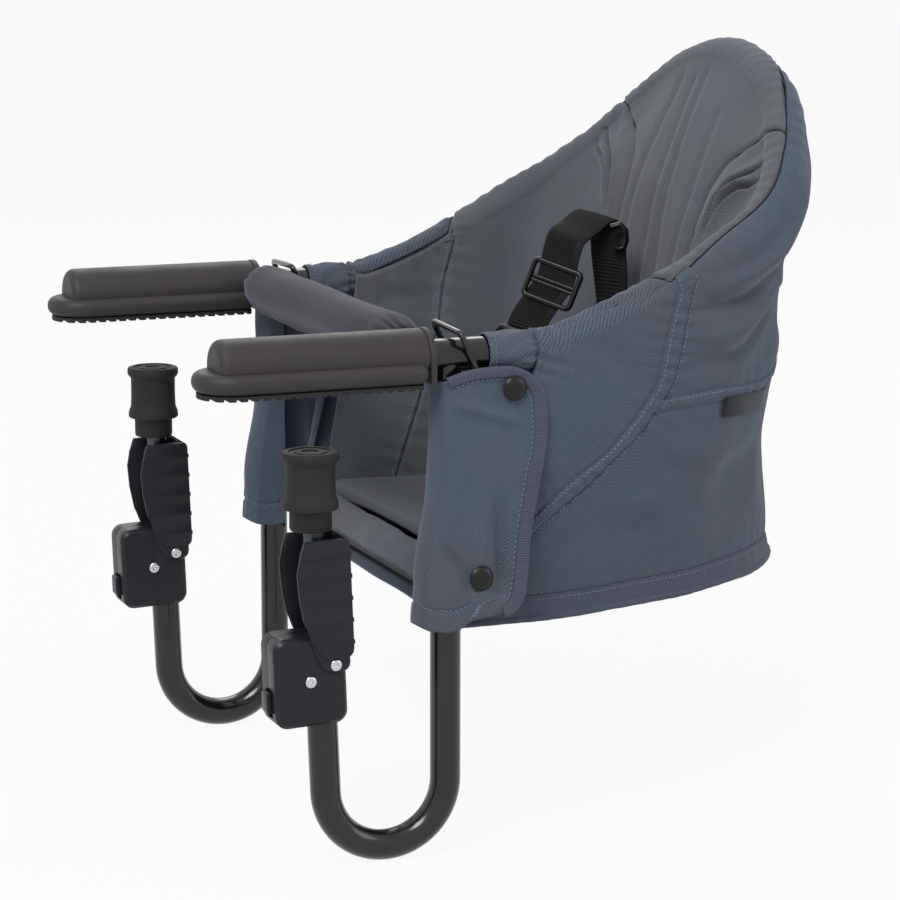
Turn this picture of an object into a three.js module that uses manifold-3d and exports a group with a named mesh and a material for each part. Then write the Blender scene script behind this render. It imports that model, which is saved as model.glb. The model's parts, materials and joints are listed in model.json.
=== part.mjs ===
// Hook-on table chair: a child's seat that two padded arms and two clamped hooks hold to a tabletop.
// Millimetres. +X runs from the table edge towards the seat back, +Y to the seated child's right, +Z up.
// The origin lies on the tabletop, at its edge, midway between the two arms.
import * as THREE from "three";
import { mergeVertices } from "three/addons/utils/BufferGeometryUtils.js";
import Module from "manifold-3d";

const wasm = await Module();
wasm.setup();

// Clearances
const seatGap = 0.35; // between pieces that touch in the real chair
const runGap = 0.6; // between pieces that slide or turn on each other
const overrun = 20; // how far a cutter passes the piece that it cuts

// Table that the chair is drawn on
const tableThickness = 38;

// Arms and crossbar
const armSpacing = 350;
const armRadius = 11;
const armWall = 1.6;
const armAxisZ = 18;
const armRearX = 38;
const barRadius = 8;
const barX = -5;
const barZ = 21;
const halfSpan = armSpacing / 2;

// Table grips
const gripLength = 142.5;
const gripEndWall = 4.5; // rubber in front of the arm's end
const armFrontX = gripEndWall - gripLength;
const gripCapRadius = 18.5;
const gripNose = 9;
const gripGrooveZ = 17;
const gripPlate = 3;
const gripPlateFoot = 1.5;
const gripNeckInset = 1;
const beadReach = 13.5; // how far the bead stands out in front of the cap
const beadHalfWidth = 25;
const beadHeight = 13;
const beadRear = 5.5;
const beadCorner = 9;
const soleHeight = 3.6;
const solePlate = 1.4;
const soleInset = 3;
const toothPitch = 7.4;

// Bumper sleeve on the crossbar
const bumperRadius = 17.8;
const bumperEndRadius = 12.5;
const bumperTaper = 26;
const bumperGap = 2; // to the grips at both ends

// Hooks
const hookRadius = 10;
const hookBore = 8.2;
const hookLegX = 12.8;
const hookBend = 41.5;
const hookDepth = 320.5; // arm axis to the middle of the tube at the bottom of the bend
const hookLean = THREE.MathUtils.degToRad(2.3);

// Clamp, in a frame that leans with the hook's short leg and starts at the housing's lower end
const clampRise = 49; // bend centre to the housing's lower end
const housingFront = 35;
const housingRear = 13.2;
const housingHeight = 59;
const housingHalfDepth = 14.5;
const housingCorner = 8;
const housingEdge = 2.5;
const housingWall = 2.2;
const pocketFloor = 4.2;
const pocketCorner = 3;
const pocketSideRoom = 3.1; // from the pawl's side to the pocket's wall
const hookInsert = 20;
const leverPivot = { x: 5.4, z: 39 };
const pawlPivot = { x: -11.3, z: 29.4 };
const rivetRadius = 2.4;
const rivetHead = 3.7;
const rivetHeadHeight = 1.1;
const leverWall = 1.8;
const leverWebX = 13.8;
const leverTop = 121;
const leverOpenX = 16.5;
const leverFoot = 33;
const leverRound = 4;
const leverTipDrop = 6;
const leverTipReach = 20; // from the top down to where the front edges stand widest
const leverWaistRise = 16; // above the housing
const leverWaistInset = 5;
const leverEdge = 1.2;
const leverLip = 1;
const gripRubber = 1.6;
const gripFoot = 43.5;
const gripRibs = 5;
const gripRibHeight = 0.5;
const gripRibWidth = 2.8;
const gripRibMargin = 10; // from the rubber's ends to the outer ribs
const postRadius = 7.2;
const rackFront = 7;
const rackRear = 1.5;
const rackHalfWidth = 3.4;
const rackPitch = 3.5;
const rackToothDepth = 1.6;
const rackFoot = 8;
const rackTop = 60.5;
const footRadius = 18.5;
const footHeight = 37;
const footNeckRadius = 13.6;
const footNeck = 14;
const footRim = 5;
const footFloor = 7;
const footEdge = 1.5;
const footWaistInset = 2.5;
const footStep = 3;
const footSkirt = 8;
const footLip = 0.5;
const footChamfer = 1;
const buttonProud = 3.4;
const buttonFoot = 9;
const buttonDrop = 3;
const buttonHeight = 14.5;
const buttonHalfWidth = 5.2;
const pawlThickness = 7;
const buttonRound = 2;
const buttonStep = 3;
const pawlShankInset = 1.5;
const pawlHalfNeck = 4;
const pawlHeel = { x: 3.4, z: 3 };
const pawlToe = 6;
const pawlBack = 5;

// Wire bails on the arms
const bailX = 25;
const bailWire = 1.75;
const bailLean = THREE.MathUtils.degToRad(24);
const bailAbove = 17;
const bailBelow = 14.6;
const bailOutside = 13.1;
const bailInside = 34;
const bailCorner = 5;
const bailTilt = 2; // how much higher its inner end stands

// Fold hinges and rear hoop
const hingeX = 56;
const hingePinRadius = 3;
const hingeEyeRadius = 8.6;
const hingeNeck = 4.5;
const tongueHalf = 3.6;
const forkWall = 3.2;
const plugLength = 14;
const plugOverlap = 1;
const forkInset = 2; // the fork's shoulder stands this far in front of the hoop's end
const hoopStartX = 74;
const hoopDepth = 242; // hinge to the back of the hoop
const hoopRise = 174; // arm axis to the top of the hoop
const hoopShares = [
  [0.074, 1, 0],
  [0.09, 1, 0],
  [0.112, 1, 0.001],
  [0.165, 1.003, 0.024],
  [0.27, 1.01, 0.078],
  [0.43, 1.025, 0.18],
  [0.56, 1.02, 0.27],
  [0.69, 1, 0.37],
  [0.785, 0.94, 0.465],
  [0.9, 0.775, 0.64],
  [0.96, 0.57, 0.795],
  [0.99, 0.31, 0.925],
  [1, 0, 0.985],
];

// Cloth
const clothWall = 1.6;
const rollRadius = 14; // outside of the cloth round the hoop
const rollSeamAngle = THREE.MathUtils.degToRad(55);
const baseFrontX = 26;
const baseRearX = 311;
const baseHalfWidth = 163;
const baseZ = -160;
const baseShares = [
  [0, 1],
  [0.22, 0.985],
  [0.45, 0.945],
  [0.66, 0.87],
  [0.83, 0.72],
  [0.945, 0.44],
  [1, 0],
];
const backBulge = 15;
const backBulgeShares = [0, 0.4, -0.35, -0.6, -0.5, -0.2, -0.4, -0.55, -0.35, -0.13, 0];
const sideBulge = 7;
const panelSplitShare = 0.136; // where the side panels meet the back panel
// How far down the seam above the lower panel runs: a curved band at the sides, a waist at the back
const waistShares = [
  [0, 0.81],
  [0.02, 0.75],
  [0.044, 0.695],
  [0.07, 0.635],
  [0.088, 0.59],
  [0.104, 0.54],
  [0.121, 0.48],
  [0.136, 0.415],
  [0.17, 0.437],
  [0.205, 0.466],
  [0.278, 0.545],
  [0.35, 0.582],
  [0.5, 0.595],
];
const basePlate = 2.4;
const baseOutset = 1.2;
const baseEdge = 0.8;
const boardThickness = 6;
const boardInset = 9;
const boardEdge = 1;
const boardFrontInset = 6; // behind the lining's front end
const cushionHeight = 22;
const cushionCrown = 7;
const cushionFrontX = 44;
const cushionEdge = 9;
const cushionTufts = 4;
const tuftDepth = 2;
const cushionRimShare = 0.6;
const linerWall = 1.4;
const linerBaseHalf = 147;
const linerRearX = 240;
const linerFrontX = 40;
const linerFoot = -149;
const linerBulge = 30;
const wingShare = 0.355; // where the wings meet the back pad
const padThickness = 17;
const padChannels = 6;
const channelDepth = 3.4;

// Front flaps and their snaps
const flapWall = 2;
const flapOutside = 5.4; // from the hook's side to the flap's inner face
const flapInside = 2.6;
const flapInnerReach = 5;
const flapTopZ = 15;
const flapFoot = -163;
const flapFlare = 12;
const flapFootRise = 27; // how much higher the lower edge ends than at its middle
const flapFootMiddle = 6;
const flapFootHalf = 46;
const flapRearShares = [
  [0.0, 0.62],
  [0.06, 0.9],
  [0.16, 1],
  [0.3, 0.985],
  [0.5, 0.935],
  [0.7, 0.87],
  [0.86, 0.81],
  [0.94, 0.76],
  [1, 0.68],
];
const flapReach = 74;
const snapRadius = 8.2;
const snapHeight = 3;
const upperSnap = { x: 53.5, z: -3 };
const lowerSnap = { x: 31, z: -126 };

// Sleeve cuffs over the hinges
const cuffFrontX = 39;
const cuffRearGap = 2.2;

// Harness
const webWidth = 25;
const webThickness = 1.7;
const beltPath = [
  [126, 0, -116],
  [136, 0, -60],
  [149, 0, 2],
  [159, 0, 32],
  [169, 0, 62],
  [182, 0, 87],
  [199, -5, 86],
  [208, -8, 66],
  [208, -8, 20],
  [206, -6, -50],
  [205, 0, -116],
];
const beltAcross = [
  [0.5, -0.85, 0],
  [0.7, -0.7, -0.1],
  [0.8, -0.55, -0.2],
  [0.8, -0.55, -0.2],
  [0.75, -0.62, -0.2],
  [0.4, -0.9, -0.1],
  [0.3, -0.95, 0],
  [0.4, -0.9, 0],
  [0.4, -0.9, 0],
  [0.2, -0.97, 0],
  [0, -1, 0],
];
const slideOuter = { width: 34, height: 25, corner: 4, thickness: 3 };
const slideBar = 3.4;
const slideSlotCorner = 1.5;
const slideGap = 2.6; // from the webbing's face to the slide's
const upperSlideShare = 0.295;
const lowerSlideShare = 0.17;
const crotchX = 112;
const crotchTop = -72;
const crotchWidth = 38;
const crotchThickness = 3;
const tagFromShare = 0.208;
const tagToShare = 0.295;
const tagDropShare = 0.014;
const tagHeightShare = 0.052;
const tagThickness = 0.9;
const tagLift = 0.6;

// Materials
function finish(color, roughness, metalness = 0) {
  return new THREE.MeshStandardMaterial({ color, roughness, metalness });
}
const materials = {
  paint: finish(0x101113, 0.22, 0.3),
  gripRubber: finish(0x2b2826, 0.6),
  soleRubber: finish(0x141414, 0.8),
  foam: finish(0x2a2a2d, 0.85),
  housing: finish(0x1b1c20, 0.42),
  leverRubber: finish(0x1d1e22, 0.55),
  steel: finish(0xb9bcc0, 0.25, 1),
  darkSteel: finish(0x33353a, 0.4, 0.8),
  cloth: finish(0x4b4e55, 0.92),
  lining: finish(0x44484d, 0.92),
  binding: finish(0x4a4852, 0.9),
  webbing: finish(0x16161a, 0.85),
  buckle: finish(0x151518, 0.45),
};

const lerp = THREE.MathUtils.lerp;
const chair = new THREE.Group();
const sides = [
  { tag: "L", sign: -1 },
  { tag: "R", sign: 1 },
];

// Solids and booleans
function outwardFacing(geometry) {
  const p = geometry.getAttribute("position");
  const index = geometry.index;
  const a = new THREE.Vector3();
  const b = new THREE.Vector3();
  const c = new THREE.Vector3();
  let volume = 0;
  for (let i = 0; i < index.count; i += 3) {
    a.fromBufferAttribute(p, index.getX(i));
    b.fromBufferAttribute(p, index.getX(i + 1));
    c.fromBufferAttribute(p, index.getX(i + 2));
    volume += a.dot(b.cross(c));
  }
  if (volume < 0) {
    for (let i = 0; i < index.count; i += 3) {
      const first = index.getX(i);
      index.setX(i, index.getX(i + 1));
      index.setX(i + 1, first);
    }
  }
  return geometry;
}

function bareGeometry(geometry) {
  const g = geometry.index ? geometry.toNonIndexed() : geometry.clone();
  const bare = new THREE.BufferGeometry();
  bare.setAttribute("position", g.getAttribute("position"));
  return outwardFacing(mergeVertices(bare, 1e-3));
}

function solid(geometry) {
  const g = bareGeometry(geometry);
  return new wasm.Manifold(
    new wasm.Mesh({
      numProp: 3,
      vertProperties: new Float32Array(g.getAttribute("position").array),
      triVerts: new Uint32Array(g.index.array),
    }),
  );
}

function geometryOf(body) {
  const mesh = body.getMesh();
  const geometry = new THREE.BufferGeometry();
  geometry.setAttribute("position", new THREE.BufferAttribute(mesh.vertProperties, 3));
  geometry.setIndex(new THREE.BufferAttribute(mesh.triVerts, 1));
  return geometry;
}

function joined(...parts) {
  return geometryOf(parts.map(solid).reduce((all, part) => all.add(part)));
}

function cutBy(geometry, ...cutters) {
  return geometryOf(cutters.map(solid).reduce((rest, cutter) => rest.subtract(cutter), solid(geometry)));
}

function shared(a, b) {
  return geometryOf(solid(a).intersect(solid(b)));
}

function add(parent, name, geometry, material) {
  const mesh = new THREE.Mesh(geometry, material);
  mesh.name = name;
  parent.add(mesh);
  return mesh;
}

// Simple bodies, placed by their middle
function box(x, y, z, at = [0, 0, 0]) {
  return new THREE.BoxGeometry(x, y, z).translate(...at);
}

function rod(radius, length, axis, at, segments = 20) {
  const g = new THREE.CylinderGeometry(radius, radius, length, segments);
  if (axis === "x") g.rotateZ(-Math.PI / 2);
  if (axis === "z") g.rotateX(Math.PI / 2);
  return g.translate(...at);
}

// An outline in X and Z, extruded to both sides of a plane across Y
function sidePlate(shape, width, y, bevel = 0, segments = 1) {
  const g = new THREE.ExtrudeGeometry(shape, {
    depth: width - 2 * bevel,
    bevelEnabled: bevel > 0,
    bevelThickness: bevel,
    bevelSize: bevel,
    bevelOffset: -bevel,
    bevelSegments: segments,
    curveSegments: 3,
  });
  g.translate(0, 0, -(width - 2 * bevel) / 2);
  g.rotateX(Math.PI / 2);
  return g.translate(0, y, 0);
}

// A rounded rectangle between two corners
function roundedOutline(x0, z0, x1, z1, r) {
  const s = new THREE.Shape();
  s.moveTo(x0 + r, z0);
  s.lineTo(x1 - r, z0);
  s.absarc(x1 - r, z0 + r, r, -Math.PI / 2, 0);
  s.lineTo(x1, z1 - r);
  s.absarc(x1 - r, z1 - r, r, 0, Math.PI / 2);
  s.lineTo(x0 + r, z1);
  s.absarc(x0 + r, z1 - r, r, Math.PI / 2, Math.PI);
  s.lineTo(x0, z0 + r);
  s.absarc(x0 + r, z0 + r, r, Math.PI, 1.5 * Math.PI);
  return s;
}

// A tube or rod along points, with a ring at each point; closed joins the last ring to the first
function sweep(points, radius, count = 12, closed = false) {
  const tangents = points.map((p, i) => {
    const last = points.length - 1;
    const before = points[i > 0 ? i - 1 : closed ? last : 0];
    const after = points[i < last ? i + 1 : closed ? 0 : last];
    return after.clone().sub(before).normalize();
  });
  const side = new THREE.Vector3(0, 1, 0);
  if (Math.abs(tangents[0].y) > 0.9) side.set(1, 0, 0);
  const positions = [];
  let normal = side.clone();
  points.forEach((p, i) => {
    normal.addScaledVector(tangents[i], -normal.dot(tangents[i])).normalize();
    const other = new THREE.Vector3().crossVectors(tangents[i], normal);
    for (let k = 0; k < count; k++) {
      const a = (2 * Math.PI * k) / count;
      const v = p.clone();
      v.addScaledVector(normal, radius * Math.cos(a)).addScaledVector(other, radius * Math.sin(a));
      positions.push(v.x, v.y, v.z);
    }
  });
  const index = [];
  const rings = points.length;
  for (let i = 0; i < (closed ? rings : rings - 1); i++) {
    const next = (i + 1) % rings;
    for (let k = 0; k < count; k++) {
      const k1 = (k + 1) % count;
      const [a, b, c, d] = [i * count + k, i * count + k1, next * count + k1, next * count + k];
      index.push(a, b, c, a, c, d);
    }
  }
  if (!closed) {
    for (let k = 1; k < count - 1; k++) {
      const end = (rings - 1) * count;
      index.push(0, k + 1, k, end, end + k, end + k + 1);
    }
  }
  const g = new THREE.BufferGeometry();
  g.setAttribute("position", new THREE.Float32BufferAttribute(positions, 3));
  g.setIndex(index);
  return outwardFacing(g);
}

// Joins two grids of the same size, one above the other, into a closed body
function gridBody(positions, columns, rows) {
  const index = [];
  const width = columns + 1;
  const back = positions.length / 6;
  const quad = (a, b, c, d) => index.push(a, b, c, a, c, d);
  for (let j = 0; j < rows; j++) {
    for (let i = 0; i < columns; i++) {
      const a = j * width + i;
      quad(a, a + width, a + width + 1, a + 1);
      quad(back + a, back + a + 1, back + a + width + 1, back + a + width);
    }
  }
  for (let i = 0; i < columns; i++) {
    const low = rows * width + i;
    quad(i, i + 1, back + i + 1, back + i);
    quad(low + 1, low, back + low, back + low + 1);
  }
  for (let j = 0; j < rows; j++) {
    const left = j * width;
    const right = left + columns;
    quad(left + width, left, back + left, back + left + width);
    quad(right, right + width, back + right + width, back + right);
  }
  const g = new THREE.BufferGeometry();
  g.setAttribute("position", new THREE.Float32BufferAttribute(positions, 3));
  g.setIndex(index);
  return outwardFacing(g);
}

// A closed sheet: face(u, v) is its outer face, and wall(u, v) its thickness towards the inner face
function sheet(face, wall, columns, rows) {
  const step = 1e-3;
  const outer = [];
  const inner = [];
  for (let j = 0; j <= rows; j++) {
    for (let i = 0; i <= columns; i++) {
      const u = i / columns;
      const v = j / rows;
      const p = face(u, v);
      const du = face(Math.min(1, u + step), v).sub(face(Math.max(0, u - step), v));
      const dv = face(u, Math.min(1, v + step)).sub(face(u, Math.max(0, v - step)));
      const n = du.cross(dv).normalize();
      outer.push(p);
      inner.push(p.clone().addScaledVector(n, wall(u, v)));
    }
  }
  return gridBody([...outer, ...inner].flatMap((p) => [p.x, p.y, p.z]), columns, rows);
}

// A flat strap along points, with its own width direction at each point
function strap(points, acrosses, width, thickness, steps = 14) {
  const curve = new THREE.CatmullRomCurve3(points, false, "centripetal");
  const sideways = new THREE.CatmullRomCurve3(acrosses, false, "centripetal");
  const face = (u, v) => {
    const side = sideways.getPoint(v).normalize();
    return curve.getPoint(v).addScaledVector(side, (u - 0.5) * width);
  };
  return sheet(face, () => thickness, 1, steps);
}

// Reads a list of pairs in between its rows
function readShares(list, t) {
  const next = Math.max(1, list.findIndex(([at]) => t <= at));
  const [[t0, value0], [t1, value1]] = [list[next - 1], list[next]];
  return lerp(value0, value1, (t - t0) / (t1 - t0));
}

// Reads a list of shares as a smooth curve over 0 to 1
function smoothShare(list, t) {
  const points = list.map((value, i) => new THREE.Vector2(i / (list.length - 1), value));
  return new THREE.SplineCurve(points).getPoint(THREE.MathUtils.clamp(t, 0, 1)).y;
}

// Arms, crossbar and bumper
function buildArms() {
  for (const { tag, sign } of sides) {
    const middle = (armFrontX + armRearX) / 2;
    const length = armRearX - armFrontX;
    const at = [middle, sign * halfSpan, armAxisZ];
    const bore = rod(armRadius - armWall, length + overrun, "x", at, 20);
    const tube = cutBy(rod(armRadius, length, "x", at, 20), bore);
    add(chair, `arm_tube_${tag}`, tube, materials.paint);
  }
  const bar = rod(barRadius, armSpacing, "y", [barX, 0, barZ], 18);
  const copes = sides.map(({ sign }) =>
    rod(armRadius + seatGap, armSpacing, "x", [barX, sign * halfSpan, armAxisZ], 20),
  );
  const ends = sides.map(({ sign }) =>
    box(4 * barRadius, overrun, 4 * barRadius, [barX, sign * (halfSpan + overrun / 2), barZ]),
  );
  add(chair, "crossbar_tube", cutBy(bar, ...copes, ...ends), materials.paint);
}

function buildBumper() {
  const half = halfSpan - beadHalfWidth - bumperGap;
  const bore = barRadius + seatGap;
  const profile = [
    [bore, -half],
    [bumperEndRadius - 2 * seatGap, -half],
  ];
  const rings = 5;
  for (let i = 0; i <= rings; i++) {
    const t = i / rings;
    const r = bumperEndRadius + (bumperRadius - bumperEndRadius) * Math.sin((t * Math.PI) / 2);
    profile.push([r, -half + seatGap * 4 + t * bumperTaper]);
  }
  const mirrored = profile.map(([r, y]) => [r, -y]).reverse();
  const points = [...profile, ...mirrored, profile[0]].map(([r, y]) => new THREE.Vector2(r, y));
  const sleeve = new THREE.LatheGeometry(points, 16).translate(barX, 0, barZ);
  add(chair, "crossbar_sleeve", bareGeometry(sleeve), materials.foam);
}

// Table grips: a half-round cap on a stadium bead, with a toothed sole
function beadOutline(inset) {
  const tip = -gripLength - beadReach + beadHalfWidth;
  const r = beadHalfWidth - inset;
  const rear = -beadRear - inset;
  const corner = Math.max(beadCorner - inset, 1);
  const s = new THREE.Shape();
  s.moveTo(tip, -r);
  s.lineTo(rear - corner, -r);
  s.absarc(rear - corner, -r + corner, corner, -Math.PI / 2, 0);
  s.lineTo(rear, r - corner);
  s.absarc(rear - corner, r - corner, corner, 0, Math.PI / 2);
  s.lineTo(tip, r);
  s.absarc(tip, 0, r, Math.PI / 2, 1.5 * Math.PI);
  return s;
}

function buildGrips() {
  const capTop = armAxisZ + gripCapRadius;
  for (const { tag, sign } of sides) {
    const y = sign * halfSpan;
    const barrel = rod(gripCapRadius, gripLength, "x", [-gripLength / 2, y, armAxisZ], 20);
    const nose = new THREE.Shape();
    nose.moveTo(0, gripGrooveZ);
    nose.lineTo(0, capTop + overrun);
    nose.lineTo(-gripLength + gripNose, capTop + overrun);
    nose.lineTo(-gripLength + gripNose, capTop);
    const noseRise = capTop - gripGrooveZ;
    nose.absellipse(gripNose - gripLength, gripGrooveZ, gripNose, noseRise, Math.PI / 2, Math.PI);
    const cap = shared(barrel, sidePlate(nose, 3 * gripCapRadius, y));
    const edge = beadHeight / 2 - seatGap;
    const bead = new THREE.ExtrudeGeometry(beadOutline(edge), {
      depth: beadHeight - 2 * edge,
      bevelThickness: edge,
      bevelSize: edge,
      bevelSegments: 2,
      curveSegments: 6,
    }).translate(0, y, soleHeight + edge);
    const neckLength = gripLength - gripNose;
    const neckWidth = 2 * (gripCapRadius - gripNeckInset);
    const neck = box(neckLength, neckWidth, gripGrooveZ - soleHeight, [
      -neckLength / 2,
      y,
      (gripGrooveZ + soleHeight) / 2,
    ]);
    const platePlan = roundedOutline(
      -gripCapRadius,
      gripPlateFoot,
      gripCapRadius,
      capTop,
      gripCapRadius - gripNeckInset,
    );
    const plate = new THREE.ExtrudeGeometry(platePlan, {
      depth: gripPlate,
      bevelEnabled: false,
      curveSegments: 6,
    });
    plate.rotateX(Math.PI / 2).rotateZ(Math.PI / 2).translate(-gripPlate, y, 0);
    const boreLength = overrun - armFrontX;
    const boreX = armFrontX - seatGap + boreLength / 2;
    const bore = rod(armRadius + seatGap, boreLength, "x", [boreX, y, armAxisZ], 20);
    const notch = rod(barRadius + seatGap, halfSpan, "y", [barX, y - (sign * halfSpan) / 2, barZ], 18);
    const notchMouth = box(2 * barRadius + 2 * seatGap, halfSpan, overrun, [
      barX,
      y - (sign * halfSpan) / 2,
      barZ - overrun / 2,
    ]);
    const rearMouth = box(overrun, halfSpan, 2 * barRadius + 2 * seatGap, [
      barX + overrun / 2,
      y - (sign * halfSpan) / 2,
      barZ,
    ]);
    const body = cutBy(joined(cap, bead, neck, plate), bore, notch, rearMouth, notchMouth);
    add(chair, `table_grip_${tag}`, body, materials.gripRubber);
    add(chair, `grip_sole_${tag}`, buildSole(y), materials.soleRubber);
  }
}

function buildSole(y) {
  const top = soleHeight - seatGap;
  const front = -gripLength - beadReach;
  const teeth = Math.floor((-beadRear - front) / toothPitch);
  const profile = new THREE.Shape();
  profile.moveTo(front, top);
  for (let i = 0; i < teeth; i++) {
    const x = front + i * toothPitch;
    profile.lineTo(x, top - solePlate);
    profile.lineTo(x + toothPitch * 0.25, top - solePlate);
    profile.lineTo(x + toothPitch * 0.35, 0);
    profile.lineTo(x + toothPitch * 0.9, 0);
  }
  profile.lineTo(front + teeth * toothPitch, top - solePlate);
  profile.lineTo(front + teeth * toothPitch, top);
  const bars = sidePlate(profile, 2 * beadHalfWidth, y);
  const plan = new THREE.ExtrudeGeometry(beadOutline(soleInset), {
    depth: 3 * soleHeight,
    bevelEnabled: false,
    curveSegments: 5,
  }).translate(0, y, -soleHeight);
  return shared(bars, plan);
}

// Hooks: a long leg from the arm, a bend below the table and a leaning short leg
const bendZ = armAxisZ - hookDepth + hookBend;
const shortLegFoot = new THREE.Vector3(
  hookLegX - hookBend - hookBend * Math.cos(hookLean),
  0,
  bendZ - hookBend * Math.sin(hookLean),
);
const clampOrigin = shortLegFoot
  .clone()
  .add(new THREE.Vector3(-Math.sin(hookLean), 0, Math.cos(hookLean)).multiplyScalar(clampRise));

function buildHooks() {
  const bendSteps = 14;
  for (const { tag, sign } of sides) {
    const y = sign * halfSpan;
    const points = [new THREE.Vector3(hookLegX, y, armAxisZ), new THREE.Vector3(hookLegX, y, bendZ)];
    for (let i = 1; i <= bendSteps; i++) {
      const a = (-(Math.PI - hookLean) * i) / bendSteps;
      const x = hookLegX - hookBend + hookBend * Math.cos(a);
      points.push(new THREE.Vector3(x, y, bendZ + hookBend * Math.sin(a)));
    }
    const rise = clampRise + hookInsert;
    const top = points[points.length - 1].clone();
    top.add(new THREE.Vector3(-Math.sin(hookLean) * rise, 0, Math.cos(hookLean) * rise));
    points.push(top);
    const cope = rod(armRadius + seatGap, armSpacing, "x", [hookLegX, y, armAxisZ], 20);
    const bore = rod(hookBore, 2 * rise, "z", [0, 0, 0], 16);
    bore.rotateY(-hookLean).translate(top.x, top.y, top.z);
    add(chair, `hook_tube_${tag}`, cutBy(sweep(points, hookRadius), cope, bore), materials.paint);
  }
}

// Clamps: each frame's Z runs along its post
function clampFrame(sign) {
  const frame = new THREE.Group();
  frame.position.set(clampOrigin.x, sign * halfSpan, clampOrigin.z);
  frame.rotation.y = -hookLean;
  chair.add(frame);
  return frame;
}

function housingShape() {
  return roundedOutline(-housingFront, 0, housingRear, housingHeight, housingCorner);
}

function buildHousing(frame, tag, sign) {
  const whole = sidePlate(housingShape(), 2 * housingHalfDepth, 0, housingEdge);
  const hookHole = rod(hookRadius + seatGap, 2 * hookInsert, "z", [0, 0, 0], 20);
  const postHole = rod(hookBore, 3 * housingHeight, "z", [0, 0, 0], 20);
  const pocketFront = housingFront - housingWall;
  const pocket = sidePlate(
    roundedOutline(-pocketFront, pocketFloor, -hookBore / 2, housingHeight - 4 * housingWall, pocketCorner),
    pawlThickness + 2 * pocketSideRoom,
    0,
  );
  const windowFoot = buttonFoot - buttonDrop;
  const windowTop = buttonFoot + buttonHeight + 2 * runGap;
  const window = box(overrun, 2 * (buttonHalfWidth + runGap), windowTop - windowFoot, [
    -housingFront,
    0,
    (windowTop + windowFoot) / 2,
  ]);
  const rivetHole = (at) => rod(rivetRadius + seatGap, 4 * housingHalfDepth, "y", [at.x, 0, at.z], 14);
  const rivetHoles = [leverPivot, pawlPivot].map(rivetHole);
  const hollow = cutBy(whole, hookHole, postHole, pocket, window, ...rivetHoles);
  const reach = 4 * housingHeight;
  const halfSpace = (direction) => box(reach, reach, reach, [0, direction * (reach / 2 + seatGap / 2), 0]);
  add(frame, `clamp_cover_outer_${tag}`, shared(hollow, halfSpace(sign)), materials.housing);
  add(frame, `clamp_cover_inner_${tag}`, shared(hollow, halfSpace(-sign)), materials.housing);
}

function buildRivet(frame, name, at, halfLength) {
  const profile = [
    [0, -halfLength - rivetHeadHeight],
    [rivetHead * 0.6, -halfLength - rivetHeadHeight],
    [rivetHead, -halfLength - rivetHeadHeight * 0.3],
    [rivetHead, -halfLength],
    [rivetRadius, -halfLength],
  ];
  const mirrored = profile.map(([r, y]) => [r, -y]).reverse();
  const points = [...profile, ...mirrored].map(([r, y]) => new THREE.Vector2(r, y));
  const rivet = new THREE.LatheGeometry(points, 8).translate(at.x, 0, at.z);
  add(frame, name, bareGeometry(rivet), materials.steel);
}

const leverInside = housingHalfDepth + seatGap;
const leverOutside = leverInside + leverWall;

// The lever's outline seen from the side: open towards the front, drawn in towards its pivot
function leverOutline(foot, outset) {
  const s = new THREE.Shape();
  const rear = leverWebX + leverWall + outset;
  const tabRadius = leverPivot.z - leverFoot;
  const front = -leverOpenX - outset;
  const waistX = leverWaistInset - leverOpenX;
  s.moveTo(rear, leverTop - leverRound);
  s.quadraticCurveTo(rear, leverTop, rear - leverRound, leverTop);
  s.lineTo(leverRound - leverOpenX, leverTop);
  s.quadraticCurveTo(leverLip - leverOpenX, leverTop - leverTipDrop, front, leverTop - leverTipReach);
  s.quadraticCurveTo(front, housingHeight + leverWaistRise, waistX, housingHeight);
  s.quadraticCurveTo(
    waistX + leverWaistInset,
    foot + leverRound - leverLip,
    leverPivot.x - tabRadius,
    foot + leverLip,
  );
  s.quadraticCurveTo(leverPivot.x, foot - leverLip, rear - leverWaistInset, foot);
  s.quadraticCurveTo(rear, foot + leverLip, rear, foot + leverTipDrop);
  return s;
}

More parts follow.
